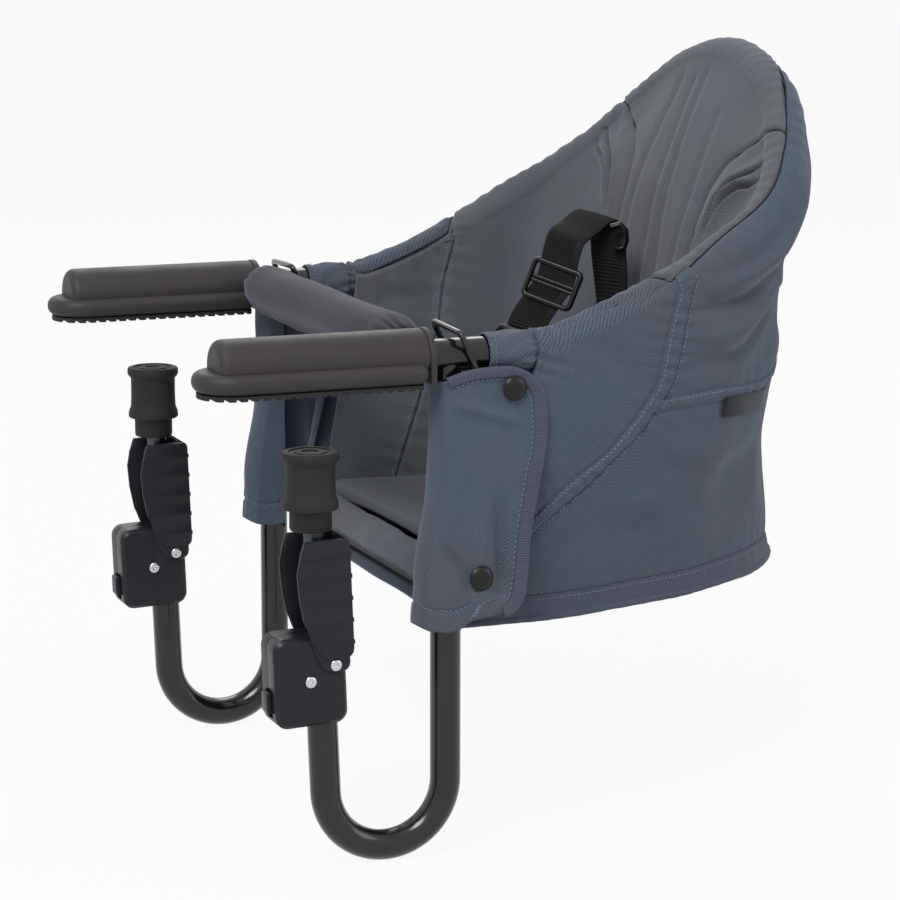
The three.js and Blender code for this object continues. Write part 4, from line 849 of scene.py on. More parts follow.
def twill_effect():
    """Diagonal ribs of a twill, cut into short floats by the threads that cross them; the second output is
    painted shade, lighter on the ribs and darker between them, with a random tone mixed in.
    """
    def build(t, given):
        spot = t.scale(given["Vector"], t.math("DIVIDE", FULL_TURN, given["Pitch"]))
        axis = t.add("ShaderNodeSeparateXYZ", {0: spot})
        x = axis.outputs[0]
        y = t.math("ADD", axis.outputs[1], t.math("MULTIPLY", axis.outputs[2], 0.9))
        uneven = t.noise(given["Vector"], 700.0, 2.0)
        bend = t.math("MULTIPLY", t.noise(given["Vector"], 95.0, 2.0), 9.0)
        slant = t.math("SUBTRACT", t.math("MULTIPLY", y, 0.84), t.math("MULTIPLY", x, 0.54))
        rib = t.math("SINE", t.math("ADD", t.math("ADD", slant, bend), t.math("MULTIPLY", uneven, 3.2)))
        across = t.math("ADD", t.math("MULTIPLY", x, 0.95), t.math("MULTIPLY", y, 0.55))
        thread = t.math("SINE", t.math("SUBTRACT", across, bend))
        woven = t.math("ADD", t.math("MULTIPLY", rib, 0.3), t.math("MULTIPLY", thread, 0.1))
        height = t.math("ADD", woven, t.math("MULTIPLY", uneven, 0.35))
        light = t.math("ADD", t.math("ADD", woven, t.math("MULTIPLY", uneven, 0.5)), 0.25, clamp=True)
        return {"Height": t.math("ADD", height, 0.4), "Rib": light}
    return effect("Twill weave", (("Vector", "NodeSocketVector", None), ("Pitch", "NodeSocketFloat", 0.0019)),
                  (("Height", "NodeSocketFloat"), ("Rib", "NodeSocketFloat")), build)


def mottle_effect():
    """Slow changes of colour: a second tint in broad zones, which is painted sheen and shade on cloth, and lint
    in small specks.
    """
    def build(t, given):
        broad = t.between(t.noise(given["Vector"], given["Zones"], 3.0), 0.4, 0.62)
        specks = t.between(t.noise(given["Vector"], 1400.0, 2.0), 0.62, 0.8)
        mixed = t.mix(t.math("MULTIPLY", broad, given["Strength"]), given["Color"], given["Second"])
        pale = t.mix(t.math("MULTIPLY", specks, 0.25), mixed, given["Lint"])
        return {"Color": pale, "Zone": broad}
    return effect("Cloth mottle", (("Vector", "NodeSocketVector", None), ("Zones", "NodeSocketFloat", 9.0),
                                   ("Color", "NodeSocketColor", (0.1, 0.1, 0.1, 1)),
                                   ("Second", "NodeSocketColor", (0.1, 0.1, 0.1, 1)),
                                   ("Lint", "NodeSocketColor", (0.2, 0.2, 0.2, 1)),
                                   ("Strength", "NodeSocketFloat", 0.6)),
                  (("Color", "NodeSocketColor"), ("Zone", "NodeSocketFloat")), build)


def grain_effect():
    """The fine eroded skin of moulded plastic or rubber, with smears that change its gloss."""
    def build(t, given):
        fine = t.noise(given["Vector"], given["Grain"], 4.0, 0.6)
        smear = t.between(t.noise(given["Vector"], 26.0, 5.0), 0.35, 0.75)
        spot = t.add("ShaderNodeMapping", {"Vector": given["Vector"], "Scale": (40.0, 900.0, 900.0)})
        scratch = t.between(t.noise(spot.outputs[0], 1.0, 2.0), 0.7, 0.78)
        rough = t.math("ADD", given["Roughness"], t.math("MULTIPLY", t.math("SUBTRACT", smear, 0.5), 0.16))
        rough = t.math("ADD", rough, t.math("MULTIPLY", scratch, 0.08), clamp=True)
        return {"Height": fine, "Roughness": rough, "Scuff": t.math("MULTIPLY", scratch, smear)}
    return effect("Moulded skin", (("Vector", "NodeSocketVector", None), ("Grain", "NodeSocketFloat", 1600.0),
                                   ("Roughness", "NodeSocketFloat", 0.5)),
                  (("Height", "NodeSocketFloat"), ("Roughness", "NodeSocketFloat"),
                   ("Scuff", "NodeSocketFloat")), build)


def rib_effect():
    """Woven webbing: cross ribs between two plain edges; the second output is painted shade, lighter on the
    ribs and darker between them.
    """
    def build(t, given):
        axis = t.add("ShaderNodeSeparateXYZ", {0: given["Vector"]})
        across, along = axis.outputs[0], axis.outputs[1]
        rib = t.math("SINE", t.math("MULTIPLY", along, t.math("DIVIDE", FULL_TURN, given["Pitch"])))
        yarn = t.math("SINE", t.math("MULTIPLY", across, 4200.0))
        middle = t.math("ABSOLUTE", t.math("SUBTRACT", t.math("DIVIDE", across, given["Width"]), 0.5))
        inside = t.between(middle, 0.4, 0.44, 1.0, 0.0)
        ribbed = t.math("ADD", t.math("MULTIPLY", rib, 0.4), t.math("MULTIPLY", yarn, 0.08))
        return {"Height": t.math("ADD", t.math("MULTIPLY", ribbed, inside), 0.5),
                "Rib": t.math("ADD", t.math("MULTIPLY", rib, 0.5), 0.5)}
    return effect("Webbing ribs", (("Vector", "NodeSocketVector", None), ("Pitch", "NodeSocketFloat", 0.0024),
                                   ("Width", "NodeSocketFloat", 0.025)),
                  (("Height", "NodeSocketFloat"), ("Rib", "NodeSocketFloat")), build)


def blank_material(name):
    """A new material with its shader ready, or one made before."""
    made = bpy.data.materials.get(name)
    if made:
        return made, None, None
    material = bpy.data.materials.new(name)
    material.use_nodes = True
    shader = next(n for n in material.node_tree.nodes if n.type == "BSDF_PRINCIPLED")
    return material, Tree(material.node_tree), shader


def scaled(color, share):
    return (*(c * share for c in color[:3]), 1.0)


def sewn_material(name, color, sheen_zone_tint, pitch=0.0019, on_uv=True, zones=8.0, bump=0.5, rough=0.86,
                  contrast=0.32):
    """Twill cloth, on the piece's own UV map in metres or on its place, with painted shade on the ribs and
    painted sheen and shade in broad zones.
    """
    material, t, shader = blank_material(name)
    if not t:
        return material
    place = t.add("ShaderNodeTexCoord")
    spot = place.outputs["UV" if on_uv else "Object"]
    twill = t.add("ShaderNodeGroup", {"Vector": spot, "Pitch": pitch}, node_tree=twill_effect())
    # The broad zones of the second tint are painted sheen and shade: lighter and darker patches where the cloth
    # catches the light.
    mottle = t.mottled(place, color, sheen_zone_tint, scaled(color, 1.9), zones)
    # Painted rib shade: the colour is lightened on the ribs and darkened between them.
    shade = t.between(twill.outputs["Rib"], 0.15, 0.9, 1 - contrast, 1 + contrast)
    t.fill(shader, {"Base Color": t.scale(mottle, shade),
                    "Normal": t.bump(twill.outputs["Height"], 0.00035, bump), "Roughness": rough,
                    "Specular IOR Level": 0.16, "Sheen Weight": 0.22, "Sheen Roughness": 0.45,
                    "Sheen Tint": (0.8, 0.86, 1.0, 1.0)})
    return material


def cover_material():
    return sewn_material("sewn_cover_twill", chosen().cloth, tint(86, 85, 91))


def lining_material():
    return sewn_material("seat_lining_twill", chosen().lining, tint(92, 92, 93), pitch=0.0017, bump=0.25,
                         zones=7.0, contrast=0.14)


def cushion_material():
    return sewn_material("seat_cushion_twill", chosen().lining, tint(88, 88, 90), pitch=0.0017, on_uv=False,
                         bump=0.25, contrast=0.14)


def band_material():
    return sewn_material("sewn_band_twill", chosen().cloth, tint(80, 84, 94), zones=14.0)


def binding_material():
    """Ribbed binding tape: fine ribs across its length, with painted shade on the ribs and painted sheen and
    shade in broad zones.
    """
    material, t, shader = blank_material("bound_edge_tape")
    if not t:
        return material
    place = t.add("ShaderNodeTexCoord")
    ribs = t.add("ShaderNodeGroup", {"Vector": place.outputs["UV"], "Pitch": 0.0019, "Width": 0.06},
                 node_tree=rib_effect())
    # Broad zones of a second tint are painted sheen and shade.
    mottle = t.mottled(place, chosen().binding, tint(80, 79, 93), scaled(chosen().binding, 1.7), 22.0)
    # Painted rib shade: lighter on the ribs, darker between them.
    shade = t.between(ribs.outputs["Rib"], 0, 1, 0.72, 1.26)
    t.fill(shader, {"Base Color": t.scale(mottle, shade),
                    "Normal": t.bump(ribs.outputs["Height"], 0.0004, 0.6), "Roughness": 0.8,
                    "Specular IOR Level": 0.2, "Sheen Weight": 0.15})
    return material


def bumper_material():
    return sewn_material("bumper_sleeve_knit", tint(43, 42, 47), tint(49, 45, 47), pitch=0.0012, zones=16.0,
                         bump=0.3, rough=0.74, contrast=0.2)


def thread_material():
    material, t, shader = blank_material("sewing_thread")
    if t:
        thread = chosen().thread
        place = t.add("ShaderNodeTexCoord")
        mottle = t.mottled(place, thread, scaled(thread, 0.72), scaled(thread, 1.3), 30.0)
        t.fill(shader, {"Base Color": mottle, "Roughness": 0.6})
    return material


def seam_shadow_material():
    """A thin dark line at the bottom of the rim's seam: painted shadow of the seam's crease."""
    return moulded_material("painted_seam_shadow", scaled(chosen().cloth, 0.22), 0.8, grain=900.0, specular=0.1)


def webbing_material():
    material, t, shader = blank_material("black_webbing_weave")
    if t:
        place = t.add("ShaderNodeTexCoord")
        ribs = t.add("ShaderNodeGroup", {"Vector": place.outputs["UV"]}, node_tree=rib_effect())
        # Painted rib shade: the webbing is darkened in the hollows and lightened on the ribs.
        color = t.mix(ribs.outputs["Rib"], scaled(chosen().webbing, 0.12), scaled(chosen().webbing, 1.7))
        t.fill(shader, {"Base Color": color, "Normal": t.bump(ribs.outputs["Height"], 0.0006, 0.8),
                        "Roughness": 0.66, "Specular IOR Level": 0.18})
    return material


def moulded_material(name, color, roughness, grain=1600.0, bump=0.12, coat=0.0, metal=0.0, scuff=1.5,
                     specular=0.3):
    """Moulded or painted skin with grain, smears and fine scratches."""
    material, t, shader = blank_material(name)
    if not t:
        return material
    place = t.add("ShaderNodeTexCoord")
    skin = t.add("ShaderNodeGroup", {"Vector": place.outputs["Object"], "Grain": grain,
                                     "Roughness": roughness}, node_tree=grain_effect())
    mottle = t.mottled(place, color, scaled(color, 1.18), scaled(color, 1.35), 18.0)
    worn = t.mix(t.math("MULTIPLY", skin.outputs["Scuff"], 0.5), mottle, scaled(color, scuff))
    t.fill(shader, {"Base Color": worn, "Roughness": skin.outputs["Roughness"],
                    "Normal": t.bump(skin.outputs["Height"], 0.0002, bump), "Metallic": metal,
                    "Specular IOR Level": specular, "Coat Weight": coat, "Coat Roughness": 0.12})
    return material


def paint_material():
    return moulded_material("gloss_black_paint", tint(12, 13, 16), 0.24, grain=500.0, bump=0.03, coat=0.4)


def grip_material():
    return moulded_material("grip_rubber_skin", chosen().rubber, 0.56, grain=1900.0, bump=0.16)


def sole_material():
    return moulded_material("sole_rubber_skin", tint(34, 33, 33), 0.72, bump=0.2)


def housing_material():
    return moulded_material("clamp_plastic_skin", tint(22, 24, 30), 0.4, grain=1300.0, bump=0.16, scuff=2.4)


def lever_material():
    return moulded_material("lever_rubber_skin", tint(24, 26, 31), 0.46, grain=1800.0, bump=0.14)


def snap_material():
    return moulded_material("snap_plastic_skin", tint(20, 17, 19), 0.34, grain=900.0, bump=0.06)


def slide_material():
    return moulded_material("slide_plastic_skin", tint(12, 12, 14), 0.26, grain=1200.0, bump=0.08)


def steel_material():
    return moulded_material("rivet_steel_skin", tint(196, 198, 202), 0.26, grain=700.0, bump=0.04, metal=1.0)


def dark_steel_material():
    return moulded_material("dark_steel_skin", tint(74, 77, 84), 0.34, grain=700.0, bump=0.05, metal=1.0)


# Pieces


HOOK_X = 12.8
HOOK_RADIUS = 10
HOOK_DROP = 320.5
BEND_RADIUS = 41.5


def build_tubes():
    """Arm tubes, hook tubes, the crossbar and the wire bails, each as one smooth tube."""
    lean = math.radians(2.3)
    bend_z = ARM_Z - HOOK_DROP + BEND_RADIUS
    for tag, sign in SIDES:
        y = sign * HALF_SPAN
        arm = tube(f"arm_tube_smooth_{tag}", [(x, y, ARM_Z) for x in np.linspace(-138, 38, 12)], 11, 56)
        dress(arm, paint_material(), f"arm_tube_{tag}")
        route = [(HOOK_X, y, ARM_Z - 2)] + [(HOOK_X, y, z) for z in np.linspace(0, bend_z, 8)]
        for a in np.linspace(0, math.pi - lean, 40)[1:]:
            x = HOOK_X - BEND_RADIUS + BEND_RADIUS * math.cos(a)
            route.append((x, y, bend_z - BEND_RADIUS * math.sin(a)))
        x, _, z = route[-1]
        for rise in np.linspace(0, 69, 6)[1:]:
            route.append((x - math.sin(lean) * rise, y, z + math.cos(lean) * rise))
        hook = tube(f"hook_tube_smooth_{tag}", route, HOOK_RADIUS, 48)
        dress(hook, paint_material(), f"hook_tube_{tag}")
        build_bail(tag, sign)
    bar = tube("crossbar_tube_smooth", [(-5, y, 21) for y in np.linspace(-164, 164, 20)], 8, 40)
    dress(bar, paint_material(), "crossbar_tube")
    finish_nodes(paint_material(), "hoop_tube")


def build_bail(tag, sign):
    """A bent wire loop round the arm."""
    corners = [(13.1, 17), (-34, 19), (-34, -15.1), (13.1, -15.1)]
    bend = 5
    lean = math.radians(24)
    route = []
    for i, corner in enumerate(corners):
        at = Vector(corner)
        start, end = (at + (Vector(corners[k % 4]) - at).normalized() * bend for k in (i - 1, i + 1))
        for t in np.linspace(0, 1, 9):
            route.append(start * (1 - t) ** 2 + at * 2 * t * (1 - t) + end * t * t)
    points = [(25 - q.y * math.sin(lean), sign * (HALF_SPAN + q.x), ARM_Z + q.y * math.cos(lean))
              for q in route]
    bail = tube(f"wire_bail_smooth_{tag}", points, 1.95, 20, closed=True)
    dress(bail, paint_material(), f"wire_bail_{tag}")


def pushed_out(name, points, move, edge, segments):
    """A closed flat outline, pushed out by a move and rounded at its edges."""
    clear()
    bpy.ops.mesh.primitive_circle_add(vertices=len(points), radius=1, fill_type="NGON")
    piece = named(bpy.context.object, name)
    reshape(piece, np.array(points) * MM)
    start_edit(piece)
    bpy.ops.mesh.extrude_region_move(TRANSFORM_OT_translate={"value": [way * MM for way in move]})
    end_edit()
    return smooth(rounded(piece, edge, segments, 50), 35)


def rounded_plan(front, rear, half, nose, corner, y, z):
    """Stadium in plan: a round nose in front, small corners behind."""
    points = []
    for a in np.linspace(math.pi / 2, 1.5 * math.pi, 28):
        points.append((front + nose + nose * math.cos(a), y + half * math.sin(a), z))
    for start, side in ((-math.pi / 2, -1), (0, 1)):
        for a in np.linspace(start, start + math.pi / 2, 8):
            points.append((rear - corner + corner * math.cos(a),
                           y + side * (half - corner) + corner * math.sin(a), z))
    return points


def end_flange(y):
    """The upright plate at a grip's rear end, round above and straight below."""
    half, thick = 18.9, 4.2
    outline = [(math.cos(a) * half, ARM_Z + math.sin(a) * half) for a in np.linspace(0, math.pi, 56)]
    outline += [(-half + half * t * 2, 1.6) for t in np.linspace(0, 1, 8)]
    return pushed_out("flange", [(-thick, y + side, z) for side, z in outline], (thick, 0, 0), 0.9, 3)


def build_grips():
    """Rubber caps on the arms: a half-round cap on a rounded bead, with an end flange."""
    for tag, sign in SIDES:
        y = sign * HALF_SPAN
        bead = pushed_out("bead", rounded_plan(-156, -5.5, 25, 25, 9, y, 3.6), (0, 0, 13), 6.0, 7)
        clear()
        bpy.ops.mesh.primitive_cylinder_add(vertices=72, radius=18.5 * MM, depth=141.5 * MM,
                                            location=(-71.75 * MM, y * MM, ARM_Z * MM),
                                            rotation=(0, math.pi / 2, 0))
        cap = settle(bpy.context.object)
        start_edit(cap)
        bpy.ops.mesh.bisect(plane_co=(0, 0, 17 * MM), plane_no=(0, 0, 1), clear_inner=True, use_fill=True)
        bpy.ops.mesh.select_all(action="DESELECT")
        bpy.ops.object.mode_set(mode="OBJECT")
        for face in cap.data.polygons:
            face.select = face.normal.z < -0.9
        bpy.ops.object.mode_set(mode="EDIT")
        bpy.ops.mesh.extrude_region_move(TRANSFORM_OT_translate={"value": (0, 0, -6 * MM)})
        bpy.ops.object.mode_set(mode="OBJECT")
        smooth(rounded(cap, 8, 8), 35)
        grip = join([bead, cap, end_flange(y)], f"arm_grip_moulded_{tag}")
        dress(grip, grip_material(), f"table_grip_{tag}")
        finish_nodes(sole_material(), f"grip_sole_{tag}")


def build_bumper():
    """The padded sleeve on the crossbar, gathered at both ends."""
    half = 148.0

    def place(u, v):
        a = 2 * math.pi * u
        y = (2 * v - 1) * half
        inset = half - np.abs(y)
        body = 12.0 + 5.9 * np.sin(np.clip(inset / 26, 0, 1) * math.pi / 2) ** 0.8
        gathers = 0.9 * np.cos(13 * a + 2 * np.sin(3 * a)) * np.exp(-inset / 15)
        lengthwise = 0.35 * np.sin(5 * a + y / 26) * np.exp(-inset / 90)
        sag = 0.5 * np.sin(y / 21 + 2 * np.cos(a))
        sag += 0.45 * np.sin(y / 9.3 + 3 * np.sin(a + 1)) * np.exp(-inset / 60)
        r = np.where(inset < 0.5, 8.6, body + gathers + lengthwise + 0.6 * sag)
        droop = -1.2 * np.sin(math.pi * v)
        return np.stack([-5 + r * np.cos(a), y, 21 + droop * 0.5 + r * np.sin(a)], axis=1)
    sleeve = laid_grid("crossbar_sleeve_padded", 96, 220, place, 112, 2 * half)
    weld(sleeve)
    walled(sleeve, 2.5)
    dress(sleeve, bumper_material(), "crossbar_sleeve")


def build_clamps():
    """Clamp housings, levers with their rubber grips, release pawls and posts."""
    plastic, rubber, steel = housing_material(), lever_material(), dark_steel_material()
    for tag, _ in SIDES:
        for node, name, bevel, segments, angle, material in (
                ("clamp_cover_outer", "clamp_shell_outer", 0.9, 3, 20, plastic),
                ("clamp_cover_inner", "clamp_shell_inner", 0.9, 3, 20, plastic),
                ("lever_arm", "lever_arm_moulded", 0.5, 3, 20, plastic),
                ("lever_grip", "lever_grip_moulded", 0.45, 3, 20, rubber),
                ("release_pawl", "release_button", 0.6, 3, 20, plastic),
                ("clamp_post", "clamp_post_smooth", 0.25, 2, 24, steel)):
            piece = refined(f"{node}_{tag}", f"{name}_{tag}", bevel, segments, angle)
            dress(piece, material, f"{node}_{tag}")


def build_rivets():
    """Dimpled rivet heads on both sides of each clamp."""
    profile = [(0, -0.25), (1.0, -0.2), (1.3, 0.75), (2.3, 1.05), (3.2, 0.85), (3.7, 0.3), (3.7, 0),
               (2.4, 0), (2.4, -6)]
    for tag, _ in SIDES:
        for name in ("lever_rivet", "pawl_rivet"):
            low, high = (Vector(corner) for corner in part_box(f"{name}_{tag}"))
            centre = (low + high) / 2
            heads = []
            for end in (-1, 1):
                head = turned("rivet_head", profile, 40, "Y" if end > 0 else "-Y")
                y = (high.y if end > 0 else low.y) - end * 1.05 * MM
                head.data.transform(Matrix.Translation((centre.x, y, centre.z)))
                heads.append(head)
            ends = [(centre.x / MM, y, centre.z / MM) for y in (low.y / MM + 3, high.y / MM - 3)]
            shank = tube("rivet_shank", ends, 2.4, 24)
            rivet = join([*heads, shank], f"{name}_headed_{tag}")
            dress(rivet, steel_material(), f"{name}_{tag}")


def build_feet():
    """Rubber feet on the posts, with rings moulded in their faces."""
    profile = [(0, -1.0), (5, -1.0), (5.6, 0), (10, 0), (10.6, -0.9), (13.4, -0.9), (14, 0), (16.4, 0),
               (17.7, -0.4), (18.4, -1.4), (18.5, -4.6), (17.6, -6.3), (16.3, -7.6), (16.0, -9), (16.0, -22),
               (16.3, -28.6), (17.6, -32), (18.0, -34), (18.0, -36.3), (17.2, -37), (14.1, -37.6),
               (13.6, -38.4), (13.6, -49.4), (13.1, -50.6), (12, -51), (7.6, -51), (7.4, -46), (0, -46)]
    for tag, sign in SIDES:
        foot = turned(f"foot_pad_moulded_{tag}", profile, 64)
        foot.data.transform(Matrix.Translation(Vector((-79.19, sign * HALF_SPAN, -38)) * MM))
        dress(foot, sole_material(), f"foot_pad_{tag}")


def build_hinges():
    """Fold hinges under the cuffs keep their CAD shape."""
    for tag, _ in SIDES:
        finish_nodes(dark_steel_material(), f"hinge_tongue_{tag}", f"hinge_fork_{tag}")
        finish_nodes(steel_material(), f"hinge_pin_{tag}")


def patch(name, cloth, u0, u1, v0, v1, columns, rows, width, length, wall, flip=False):
    """A panel of a cloth between two columns and two lines; its wall lies behind its face."""
    def place(u, v):
        left, right = (f(v) if callable(f) else f for f in (u0, u1))
        uu = left + (right - left) * u
        top, foot = (f(uu) if callable(f) else f for f in (v0, v1))
        return cloth.place(uu, top + (foot - top) * v)[0]
    piece = laid_grid(name, columns, rows, place, width, length, flip)
    area = area_of(piece)
    return walled(piece, wall), area


def build_cover():
    """The outer cover: two side panels, the back panel and the lower panel."""
    cover = make_cover()
    split = 0.136
    for tag, low, high in (("L", -0.009, split), ("R", 1 - split, 1.009)):
        side, area = patch(f"cover_side_{tag}", cover, low, high, 0.0, waist_at, 76, 130, 108, 190, 1.2)
        dress(side, cover_material(), f"side_panel_{tag}")
    back, area = patch("cover_back", cover, split, 1 - split, 0.0, waist_at, 330, 104, 585, 180, 1.2)
    dress(back, cover_material(), "back_panel")
    lower, area = patch("cover_lower", cover, 0.0, 1.0, waist_at, 0.99, 400, 84, 790, 160, 1.2)
    dress(lower, cover_material(), "lower_panel")
    # A thin dark line along the rim's seam is the seam's painted shadow.
    seam = cover.place(np.linspace(0, 1, 520), np.zeros(520), 0.2)[0]
    shadow_line = tube("rim_seam_shadow_line", seam, 0.55, 8)
    dress(shadow_line, seam_shadow_material(), body="seat")


def build_bands():
    """Sewn bands over the seams of the cover, with their rows of stitches."""
    cover = make_cover()
    for tag, _ in SIDES:
        front, rear = on_side(tag, BAND_FRONT), on_side(tag, BAND_REAR)
        low, high = (front, rear) if tag == "L" else (rear, front)
        strip, area = band(f"curved_band_{tag}", cover, low, high, 260)
        sewn_row(f"curved_stitches_{tag}", cover, between(front, rear, 0.2), 1.0, "seat", 0.0, 0.99)
        sewn_row(f"curved_stitches_rear_{tag}", cover, between(front, rear, 1.12), 0.2, "seat", 0.06, 0.99)
    upper, lower = joined_halves(WAIST_UPPER), joined_halves(WAIST_LOWER)
    strip, area = band("waist_band", cover, lower, upper, 420, rise=0.9)
    sewn_row("waist_stitches", cover, between(upper, lower, 0.22), 0.85, "seat")


def on_side(tag, line):
    """A line of the left side, or its mirror image for the right side."""
    return line if tag == "L" else mirrored(line)


def joined_halves(line):
    """A left half line followed by its mirror image, as one line."""
    def whole(s):
        first = s <= 0.5
        u, v = line(np.clip(np.where(first, 2 * s, 2 - 2 * s), 0, 1))
        return np.where(first, u, 1 - u), v
    return whole


def build_hem():
    """The bound hem, the bottom sheet and the stitched line above it."""
    cover = make_cover()

    def place(u, v):
        top = hem_top(u)
        down = top + (1.005 - top) * v
        out = 0.8 + 3.4 * v**1.6 + 0.25 * np.sin(u * 160) * v
        points = cover.place(u, np.minimum(down, 1.0), out)[0]
        points[:, 2] -= np.clip(down - 1.0, 0, 1) * 220
        return points
    hem = laid_grid("bound_hem", 420, 16, place, 790, 20, turn=True)
    walled(hem, 1.6)
    dress(hem, binding_material(), body="seat")
    line = shares_route([(u, hem_top(u, 10.8)) for u in np.linspace(0, 1, 25)])
    sewn_row("hem_stitches", cover, line, 1.25, "seat")
    edge = cover.place(np.linspace(0, 1, 240), np.full(240, 1.0), 2.4)[0]
    edge[:, 2] -= 0.9
    piping = tube("hem_piping", edge, 2.5, 16)
    dress(piping, binding_material(), body="seat")
    build_bottom(edge)


def build_bottom(edge):
    """The sheet under the seat, drawn tight in the hem."""
    side = edge[: len(edge) // 2 + 1]
    under_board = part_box("base_board")[0][2] / MM - 1.7

    def place(u, v):
        x, y, z = read_at(v, np.linspace(0, 1, len(side)), side).T
        inset = np.minimum(np.abs(y) * (1 - np.abs(2 * u - 1)), side[:, 0].max() - x)
        z = z + (np.minimum(z, under_board) - z) * ease(inset, 0.5, 8.5)
        inner = 1 - np.abs(2 * u - 1) ** 3
        sag = -0.8 * inner * np.sin(math.pi * np.clip(v, 0, 1)) ** 0.5
        return np.stack([x, y * (1 - 2 * u), z + sag + 0.4 * np.sin(x / 13) * np.sin(u * 23) * inner], axis=1)
    sheet = laid_grid("bottom_sheet", 120, 160, place, 300, 280, flip=True)
    weld(sheet, turn=False)
    walled(sheet, 1.4, 1.0)
    dress(sheet, cover_material(), "base_cover")


def build_lining():
    """The wings' lining and the channelled back pad."""
    lining = make_lining()
    gap = 0.0004
    for tag, left, right in (("L", 0.0, lambda v: wing_edge(v) - gap),
                             ("R", lambda v: 1 - wing_edge(v) + gap, 1.0)):
        wing, area = patch(f"wing_lining_{tag}", lining, left, right, 0.0, 1.0, 230, 180, 285, 250, 1.2, True)
        dress(wing, lining_material(), f"wing_pad_{tag}")
    pad, _ = patch("back_pad_channelled", lining, lambda v: wing_edge(v) + gap,
                   lambda v: 1 - wing_edge(v) - gap, 0.0, 1.0, 170, 170, 240, 260, 1.4, True)
    thicken_pad(pad)
    dress(pad, lining_material(), "back_pad")
    for tag, _ in SIDES:
        first, second = on_side(tag, INNER_BAND_FRONT), on_side(tag, INNER_BAND_REAR)
        low, high = (first, second) if tag == "L" else (second, first)
        strip, area = band(f"inner_band_{tag}", lining, low, high, 160, rise=0.7, flip=True,
                           material=lining_material())
        sewn_row(f"inner_stitches_{tag}", lining, between(first, second, -0.15), 0.3, "seat", 0.02, 0.95)


def thicken_pad(pad):
    """Moves the back pad's rear face away, where there is room below the rim."""
    points = coordinates(pad)
    count = len(points) // 2
    front, rear = points[:count], points[count:]
    away = unit(rear - front)
    depth = ease(ARM_Z + 150 - front[:, 2] / MM, 0, 60) * 8 * MM
    points[count:] = rear + away * depth[:, None]
    reshape(pad, points)


CUSHION_FRONT = 42
CUSHION_LENGTH = 194
CUSHION_HALF = 144.5
CUSHION_PLAN = np.array([(0, 1), (0.22, 0.985), (0.45, 0.945), (0.66, 0.87), (0.83, 0.72), (0.945, 0.44),
                         (1, 0.2)])
OUTLINE_FRONT = 44
OUTLINE_LENGTH = 193
TUFT_START = 44
TUFT_PITCH = 46


def build_cushion():
    """The seat cushion, puffed up by a cloth simulation and tufted in rows."""
    def place(u, v):
        x = CUSHION_FRONT + CUSHION_LENGTH * v
        share = np.clip((x - OUTLINE_FRONT) / OUTLINE_LENGTH, 0, 1)
        half = CUSHION_HALF * np.interp(share, CUSHION_PLAN[:, 0], CUSHION_PLAN[:, 1])
        return np.stack([x, (2 * u - 1) * half, np.full_like(u, -135)], axis=1)
    cushion = laid_grid("seat_cushion_filled", 40, 48, place, 290, 196, flip=True)
    walled(cushion, 13)
    puffed(cushion)
    modify(cushion, "SUBSURF", levels=1, render_levels=1)
    points = coordinates(cushion) / MM
    upper = ease(points[:, 2], -144, -136)
    between_rows = np.abs(np.sin(math.pi * (points[:, 0] - TUFT_START) / TUFT_PITCH))
    points[:, 2] += upper * (-3.2 * (1 - between_rows) ** 3 + 1.2 * np.cos(points[:, 1] / 60) + 0.5)
    points[:, 2] = np.clip(points[:, 2], -150, -124)
    reshape(cushion, points * MM)
    smooth(cushion, 60)
    dress(cushion, cushion_material(), "seat_cushion")
    build_front_roll()
    finish_nodes(housing_material(), "base_board")


def puffed(cushion, frames=20, farthest=6):
    """Blows the cushion up by a short cloth simulation, and limits how far its skin moves."""
    modify(cushion, "REMESH", mode="VOXEL", voxel_size=5 * MM)
    rest = coordinates(cushion)
    active(cushion)
    bpy.ops.object.modifier_add(type="CLOTH")
    modifier = cushion.modifiers[-1]
    modifier.settings.use_pressure = True
    modifier.settings.uniform_pressure_force = 4
    modifier.settings.effector_weights.gravity = 0
    modifier.point_cache.frame_end = frames
    for step in range(1, frames + 1):
        bpy.context.scene.frame_set(step)
    bpy.ops.object.modifier_apply(modifier=modifier.name)
    moved = coordinates(cushion) - rest
    far = np.linalg.norm(moved, axis=1, keepdims=True)
    reshape(cushion, rest + moved * np.minimum(1, farthest * MM / np.maximum(far, 1e-9)))
    bpy.context.scene.frame_set(1)


def build_front_roll():
    """The padded roll along the front edge of the seat."""
    def place(u, v):
        a = 2 * math.pi * u
        y = (2 * v - 1) * 146
        end = np.clip(1 - np.abs(2 * v - 1), 0, 1)
        r = 1 - 0.75 * (1 - np.clip(end / 0.05, 0, 1)) ** 2
        wave = 0.5 * np.sin(y / 15) + 0.3 * np.sin(y / 6.3 + 2 * np.cos(a))
        x = 40.6 + (11.6 * r + wave * 0.5) * np.cos(a)
        z = -144.5 + (12.0 * r + wave) * np.sin(a)
        return np.stack([x, y, z], axis=1)
    roll = laid_grid("front_edge_roll", 64, 200, place, 66, 292)
    start_edit(roll)
    bpy.ops.mesh.remove_doubles(threshold=0.01 * MM)
    bpy.ops.mesh.select_all(action="DESELECT")
    bpy.ops.mesh.select_non_manifold()
    bpy.ops.mesh.edge_face_add()
    end_edit()
    dress(roll, lining_material(), body="seat")


